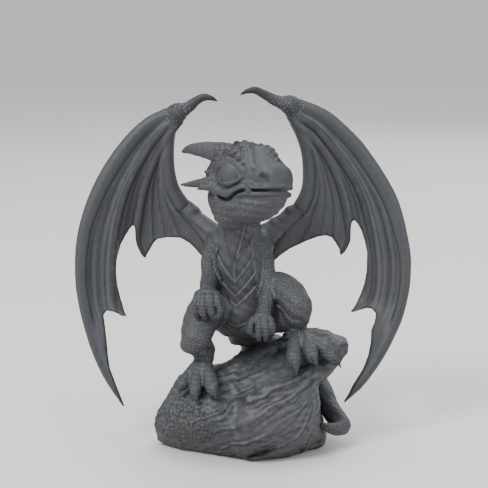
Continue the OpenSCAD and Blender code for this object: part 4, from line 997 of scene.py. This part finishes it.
def to_line(x, z, rows):
    """For each flat point: its distance to a line of (x, z, ...) rows, the sign of its side of the line,
    the rows' further values interpolated at the line's nearest place, and how far along that place is.
    """
    best = np.full(x.shape, 1e9)
    side = np.zeros(x.shape)
    values = np.zeros(x.shape + (rows.shape[1] - 2,))
    along = np.zeros(x.shape)
    steps = np.hypot(*(rows[1:, :2] - rows[:-1, :2]).T)
    run = np.concatenate([[0], np.cumsum(steps)])
    for i in range(len(rows) - 1):
        ax, az = rows[i, :2]
        bx, bz = rows[i + 1, :2] - rows[i, :2]
        t = np.clip(((x - ax) * bx + (z - az) * bz) / (bx * bx + bz * bz), 0, 1)
        dx, dz = x - ax - t * bx, z - az - t * bz
        d = dx * dx + dz * dz
        near = d < best
        best = np.where(near, d, best)
        side = np.where(near, np.sign(bx * dz - bz * dx), side)
        along = np.where(near, run[i] + t * steps[i], along)
        for k in range(values.shape[-1]):
            start, end = rows[i:i + 2, 2 + k]
            values[..., k] = np.where(near, start + t * (end - start), values[..., k])
    return np.sqrt(best), side, values, along


def inside_of(x, z, ring):
    """Signed distance to a closed flat outline, negative inside."""
    r = np.array(ring + ring[:1], float)
    d = to_line(x, z, np.hstack([r, np.zeros((len(r), 1))]))[0]
    odd = np.zeros(x.shape, bool)
    for (ax, az), (bx, bz) in zip(r[:-1], r[1:]):
        odd ^= ((az > z) != (bz > z)) & (x < (bx - ax) * (z - az) / (bz - az + 1e-12) + ax)
    return np.where(odd, -d, d)


def flat_noise(u, v, level, seed):
    """Noise from -1 to 1 over two flat arrays of coordinates."""
    p = np.stack([u.ravel(), v.ravel(), np.full(u.size, float(level))], 1)
    return value_noise(p, seed).reshape(u.shape)


def flat(values):
    """Values over x and z, shaped to spread along y on a grid."""
    return values[:, None, :].astype(np.float32)


# The skin's panels, from the leading edge inwards: the ribs on either side, how far back the skin sags
# between them (mm), and its creases (place across the panel from 0 to 1, depth in mm)
PANELS = [("lead", "f2", 1.0, ((0.3, 0.3), (0.5, 0.3), (0.72, 0.4))),
          ("f2", "f3", 1.3, ((0.34, 0.4), (0.66, 0.3))),
          ("f3", "body", 1.2, ((0.26, 0.35), (0.48, 0.25), (0.7, 0.3)))]
# How each rib is formed: its depth against its width, the power of its section (2 is an oval and less
# draws it to a ridge), how far it stands in front of its row (mm), and how widely it blends (mm)
RIBS = {"lead": (0.72, 1.55, -0.25, 0.6), "f2": (0.9, 2.0, 0.35, 0.9), "f3": (0.9, 2.0, 0.35, 0.9),
        "forearm": (0.95, 1.9, 0.0, 0.6)}
WING_VOXEL = 0.26
WING_Y, WING_Z = (-6, 14), (8, 97.5)    # mm, what the wings' grids span
# Painted light on the wings: the ribs and the wrist get a painted highlight, the cupped skin painted shade
RIB_HIGHLIGHT_SHARE = {"lead": 1, "forearm": 1, "f2": 0.6, "f3": 0.6}
SKIN_PAINTED_SHADE = -0.16    # the cupped skin is darker
RIB_PAINTED_HIGHLIGHT = 0.26      # than the ribs that catch the light


def skin_depth(got, gz, side):
    """How far back the skin lies at each flat point, and how far across its panel the point is, in mm."""
    past = -side    # the sign that to_line gives past a rib, on the side away from the leading edge
    past_f2, past_f3 = (got[rib][1] * past > 0 for rib in ("f2", "f3"))
    panel = np.where(~past_f2, 0, np.where(~past_f3, 1, 2))
    low = 1 - smooth(gz, 27, 40)    # the skin's lower tail lies flat against the leading rib
    depth = np.zeros(gz.shape)
    across = np.zeros(gz.shape)
    for k, (a, b, sag, creases) in enumerate(PANELS):
        (da, _, from_a, along), (db, _, from_b, _) = got[a], got[b]
        v = da / np.maximum(da + db, 1e-6)
        wide = np.minimum((da + db) / 9.0, 1.0)
        fan = flat_noise(along / 16.0, v * 1.5, 3 + k, 51)
        bow = np.sin(math.pi * v)
        folds = 0.3 * bow * wide * np.sin(2 * math.pi * (1.4 * v + 0.4 * fan))
        for at, high in creases:
            off = (v - at - 0.05 * fan) * (da + db)
            folds = folds - high * np.exp(-np.abs(off) / 0.42) * np.minimum(wide * 1.6, 1)
        f = (1 - v) * from_a[..., 0] + v * from_b[..., 0] + (sag * bow * wide + folds) * (1 - low)
        if a == "lead":
            f = np.where(low > 0, (1 - low) * f + low * from_a[..., 0], f) + 0.9 * (1 - v) * wide * (1 - low)
        depth = np.where(panel == k, f, depth)
        across = np.where(panel == k, v * (da + db), across)
    return depth, across


def make_wing(part, w, side):
    h = WING_VOXEL * COARSE
    xs = [p[0] for p in w["lead"]] + [w["thumb"][-1][0], w["flank"][-1][0]]
    grid = Grid((min(xs) - 3, WING_Y[0], WING_Z[0]), (max(xs) + 3, WING_Y[1], WING_Z[1]), h)
    x, y, z = grid.axes
    gx, gz = np.meshgrid(x.astype(float), z.astype(float), indexing="ij")
    lines = {rib: spline(w[rib]) for rib in RIBS}
    lines["body"] = spline(w["forearm"] + w["flank"])
    got = {name: to_line(gx, gz, rows) for name, rows in lines.items()}
    depth, across = skin_depth(got, gz, side)
    grad = np.hypot(*np.gradient(depth, h))
    lean = 1 / np.sqrt(1 + np.clip(grad, 0, 2) ** 2)
    ring = w["edge"] + w["inside"] + [tuple(r[:2]) for r in lines["lead"][3::3]]
    trim = inside_of(gx, gz, ring)
    streak = 0.03 * np.sin(across * 6.5 + 2.0 * flat_noise(gx / 5, gz / 9, 0, 57))
    half = 0.4 + 0.1 * np.exp(-(trim / 0.8) ** 2)
    back = y[None, :, None]
    slab = (np.abs(back - flat(depth + streak)) - flat(half)) * flat(lean)
    field = s_max(slab, np.broadcast_to(flat(trim), slab.shape), 0.35)
    for rib, (thick, power, lift, blend) in RIBS.items():
        d, _, values, _ = got[rib]
        radius = np.maximum(values[..., 1], 0.12)
        deep = flat(radius * thick)
        u = flat(d / radius)
        v = np.abs(back - flat(values[..., 0] - lift)) / deep
        k0 = (u ** power + v ** power) ** (1 / power)
        k1 = np.sqrt((u / flat(radius)) ** 2 + (v / deep) ** 2) + 1e-5
        field = s_min(field, k0 * (k0 - 1) / k1, blend)
    grid.f = field.astype(np.float32)
    wrist = Clay()
    wrist.tube(None, w["thumb"], 0.8)
    wrist.add(None, ball(w["wrist"], 2.3), 1.2)
    points, quads = wrist.work(grid).mesh()
    points = relax(points, quads, 2)
    cluster = near_any(points, [(*w["wrist"], 4.3), (*w["thumb"][1][:3], 2.4)])
    scales = cluster * 0.24 * (pebbles(points, 0.85, 61) * 1.2 - 0.45)
    bone = 0.05 * fractal(points / vec(1.6, 1.6, 6.0), 3, 63)
    points = points + normals_of(points, quads) * (scales + bone)[:, None]
    # How much of each point belongs to a rib or to the wrist, which get a painted highlight
    i = np.clip(((points[:, 0] - x[0]) / h).round().astype(int), 0, gx.shape[0] - 1)
    j = np.clip(((points[:, 2] - z[0]) / h).round().astype(int), 0, gx.shape[1] - 1)
    rib_highlight = cluster
    for rib, share in RIB_HIGHLIGHT_SHARE.items():
        d, _, values, _ = got[rib]
        radius = values[..., 1][i, j]
        rib_highlight = np.maximum(rib_highlight, (1 - smooth(d[i, j], radius * 0.8, radius * 1.5)) * share)
    build(part + "_sculpt", points, quads, [part], RIB_PAINTED_HIGHLIGHT * rib_highlight + SKIN_PAINTED_SHADE)


make_wing("left_wing", LEFT_WING, 1)
make_wing("right_wing", RIGHT_WING, -1)


# ---------- rock: the boulder softened, split into strata and weathered ----------
ROCK_VOXEL = 0.32
ROCK_BAND = 4.0    # mm either side of the surface in which the CAD rock's distance is worked out


def field_of(node, h):
    """The signed distance, in mm, to a closed CAD piece."""
    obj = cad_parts[node]
    me = obj.data
    me.calc_loop_triangles()
    co = np.empty(len(me.vertices) * 3)
    me.vertices.foreach_get("co", co)
    m = np.array(obj.matrix_world)
    p = (co.reshape(-1, 3) @ m[:3, :3].T + m[:3, 3]) / MM
    tris = np.empty(len(me.loop_triangles) * 3, np.int32)
    me.loop_triangles.foreach_get("vertices", tris)
    g = Grid(p.min(0) - 2.5, p.max(0) + 2.5, h)
    tris = tris.reshape(-1, 3).astype(np.uint32)
    points = ((p - g.lo) / h).astype(np.float32)
    level = vdb.FloatGrid.createLevelSetFromPolygons(points, triangles=tris, halfWidth=ROCK_BAND / h)
    level.copyToArray(g.f)
    g.f = g.f * np.float32(h)
    return g


def layers(p):
    """How far up the rock's layers a point is: they climb towards +x and stand on end along that flank."""
    x, y, z = p.T
    tilt = np.radians(24 + 42 * smooth(x, 12, 23) * (1 - smooth(z, 15, 24)))
    lay = z * np.cos(tilt) - (x - 8) * np.sin(tilt) + 0.22 * y
    return lay + 2.6 * fractal(p / vec(12, 12, 8), 3, 71) + 0.5 * fractal(p / vec(4, 4, 2.4), 2, 73)


STRATA = [(5.2, 1.7, 75), (2.3, 0.5, 77)]    # (thickness in mm, relief in mm, seed)


def strata(p):
    """How far the layered rock stands out at each point: every layer ends in an overhanging lip."""
    lay = layers(p)
    out = 0
    for pitch, depth, seed in STRATA:
        s = lay / pitch
        step = np.floor(s).astype(np.int64)
        t = s - step
        size = hash01(step, step * 0, step * 0, seed)
        lip = np.clip(t / 0.9, 0, 1) ** 2.2 - np.clip((t - 0.9) / 0.1, 0, 1)
        patchy = 0.45 + 0.55 * smooth(value_noise(p / 7.0 + 31, seed + 1), -0.4, 0.5)
        out = out + depth * (0.35 + 0.65 * size) * patchy * (lip - 0.62)
    return out * (1 - 0.75 * smooth(p[:, 0], 14, 18)) * (1 - 0.6 * smooth(p[:, 2], 22, 26))


# Where the rock meets the ground, from above, and how far its sides may stand out at each height
FOOTPRINT = [(-23.4, 1.5), (-21.7, -3.3), (-18.5, -6.7), (-11, -10.5), (-3.6, -14.3), (1.8, -16.9),
             (12.8, -14.3), (21.4, -5.0), (24.0, 1.5), (23, 10), (18, 18), (5, 22), (-10, 21), (-20, 14),
             (-23.8, 7)]
FLARE_AT, FLARE = [0, 4, 9, 14], [0, 2.5, 6, 9]
# How far towards +x the rock's flank reaches (mm) at each height
FLANK_AT, FLANK = [0, 5, 10, 17, 20.5, 27.5, 32], [24.3, 22.4, 20.9, 20.9, 22.6, 28.6, 29.5]
rock_edits = Clay()
for place, size, k in [((19.3, -0.5, 3.0), (4.6, 9.0, 4.4), 1.5), ((-12.5, -3.0, 15.8),
                                                                   (6.5, 6.0, 5.0), 1.5),
                       ((9.0, 6.0, 22.2), (9.5, 8.5, 5.8), 2.0), ((-10.5, -13.0, 14.2),
                                                                  (6.5, 5.0, 4.4), 2.0),
                       ((21.0, -3.0, 27.4), (7.4, 8.5, 3.4), 1.5)]:
    rock_edits.add(None, pad(place, size), k)
for place, size in [((-7.4, 8.0, 25.6), (7.0, 14.0, 6.0)), ((24.4, -15.0, 26.0), (3.2, 3.0, 3.0))]:
    rock_edits.cut(pad(place, size), 1.0)


def make_rock():
    g = rock_edits.work(field_of("rock_base", ROCK_VOXEL * COARSE))
    x, y, z = np.meshgrid(*g.axes, indexing="ij")
    beyond = inside_of(x[:, :, 0].astype(float), y[:, :, 0].astype(float), FOOTPRINT)[:, :, None]
    flare = np.interp(g.axes[2], FLARE_AT, FLARE)[None, None, :]
    g.f = s_max(g.f, (beyond - flare) * 0.85, 2.0)
    flank = np.interp(g.axes[2], FLANK_AT, FLANK)[None, None, :]
    g.f = s_max(g.f, (x - flank) * 0.8, 1.2).astype(np.float32)
    g.soften(12)
    near = np.abs(g.f) < 2.6
    p = np.stack([x[near], y[near], z[near]], 1).astype(float)
    # The layers show most away from the -x end, and a smooth slab lies low on the front
    crag = smooth(p[:, 0] + 0.25 * p[:, 2], -17, -5)
    slab = smooth(p[:, 0], -3, 1) * (1 - smooth(p[:, 0], 12, 15)) * smooth(p[:, 2], 8.0, 9.6)
    slab = slab * (1 - smooth(p[:, 2] - 0.25 * p[:, 0], 11.5, 13.5)) * (1 - smooth(p[:, 1], -14, -9))
    chips = cells(p / vec(5.5, 5.5, 4.5), 82)[0] - 0.55
    lumps = 0.8 * fractal(p / 6.5, 4, 81) + 0.9 * chips * (1 - 0.75 * crag)
    lumps = lumps + 0.55 * (cells(p / vec(3.4, 3.4, 1.7), 84)[0] - 0.55)
    top = smooth(p[:, 2], 20, 25) * 0.35
    layered = strata(p) * (0.3 + 0.7 * crag) * (1 - 0.85 * slab) * (1 - top)
    move = lumps * (1 - 0.8 * slab) + layered - 0.25
    foot = smooth(p[:, 2], 0.0, 1.6)
    g.f[near] -= (move * foot).astype(np.float32)
    g.f = np.maximum(g.f, -(z - 0.02)).astype(np.float32)
    points, quads = g.mesh()
    points = relax(points, quads, 1)
    n = normals_of(points, quads)
    # Fine relief: pebbly at the -x end, grained along the layers elsewhere, and rougher on top
    pebbly = (1 - smooth(points[:, 0] + 0.35 * points[:, 2], -9, 1)) * smooth(points[:, 2], 2.5, 6)
    fine = 0.2 * pebbly * (pebbles(points, 1.0, 83) * 1.3 - 0.5)
    fine = fine + 0.13 * pebbly * value_noise(points / 0.55, 85)
    along = np.stack([points[:, 0] / 5, points[:, 1] / 5, layers(points) / 0.55], 1)
    fine = fine + 0.12 * value_noise(along, 89) * (1 - 0.7 * pebbly)
    top = smooth(n[:, 2], 0.3, 0.8)
    fine = fine + 0.15 * fractal(points / vec(1.8, 1.8, 1.1), 4, 91) * (1 + 0.6 * top)
    fine *= smooth(points[:, 2], 0.1, 0.8)
    points = points + n * fine[:, None]
    points[:, 2] = np.maximum(points[:, 2], 0)
    build("rock_sculpt", points, quads, ["rock_base"])


make_rock()


# ---------- floor, backdrop and light ----------
def plain(name, colour):
    """A flat matt material."""
    mat = bpy.data.materials.new(name)
    mat.use_nodes = True
    b = mat.node_tree.nodes["Principled BSDF"]
    b.inputs["Base Color"].default_value = (*colour, 1)
    b.inputs["Roughness"].default_value = 0.6
    b.inputs["Specular IOR Level"].default_value = 0.2
    return mat


FLOOR_HALF = 6.0     # metres
FLOOR_GAP = 0.0001   # metres from the rock's lowest point down to the floor


def make_floor():
    """A pale floor, flat and far out in every direction, just under the rock."""
    me = bpy.data.meshes.new("floor")
    s = FLOOR_HALF
    z = float(cad_box[0][2]) - FLOOR_GAP
    me.from_pydata([(-s, -s, z), (s, -s, z), (s, s, z), (-s, s, z)], [], [(0, 1, 2, 3)])
    obj = bpy.data.objects.new("floor", me)
    bpy.context.scene.collection.objects.link(obj)
    me.materials.append(plain("floor_pale", (0.74, 0.72, 0.69)))


LAMPS_AIM = (0, 0, 0.05)


def area(name, place, size, power, colour=(1, 1, 1)):
    """A round lamp aimed at the figure; its place and size are in metres and its power in watts."""
    data = bpy.data.lights.new(name, "AREA")
    data.shape = "DISK"
    data.size = size
    data.energy = power
    data.color = colour
    obj = bpy.data.objects.new(name, data)
    obj.location = place
    obj.rotation_euler = (Vector(LAMPS_AIM) - Vector(place)).to_track_quat("-Z", "Y").to_euler()
    bpy.context.scene.collection.objects.link(obj)


def make_world():
    """Soft light from all round, and a plain grey backdrop where the camera looks past the floor."""
    world = bpy.data.worlds.new("studio")
    bpy.context.scene.world = world
    world.use_nodes = True
    t = world.node_tree
    t.nodes.clear()
    out = t.nodes.new("ShaderNodeOutputWorld")
    fill = node(t, "ShaderNodeBackground", Color=(0.93, 0.96, 1.0, 1), Strength=0.9)
    seen = node(t, "ShaderNodeBackground", Color=(0.67, 0.67, 0.66, 1), Strength=1.0)
    path = t.nodes.new("ShaderNodeLightPath")
    pick = t.nodes.new("ShaderNodeMixShader")
    t.links.new(path.outputs["Is Camera Ray"], pick.inputs["Fac"])
    t.links.new(fill.outputs["Background"], pick.inputs[1])
    t.links.new(seen.outputs["Background"], pick.inputs[2])
    t.links.new(pick.outputs["Shader"], out.inputs["Surface"])


make_floor()
make_world()
area("key", (-0.45, -0.60, 0.80), 0.35, 9.5)
area("fill", (0.70, -0.50, 0.45), 0.50, 1.6, (0.92, 0.96, 1.0))
area("top", (0.0, 0.10, 0.90), 0.50, 3.0)
area("rim", (0.40, 0.70, 0.55), 0.45, 2.6, (0.95, 0.98, 1.0))

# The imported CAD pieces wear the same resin
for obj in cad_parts.values():
    if not obj.data.materials:
        obj.data.materials.append(resin)
    for i in range(len(obj.data.materials)):
        obj.data.materials[i] = resin
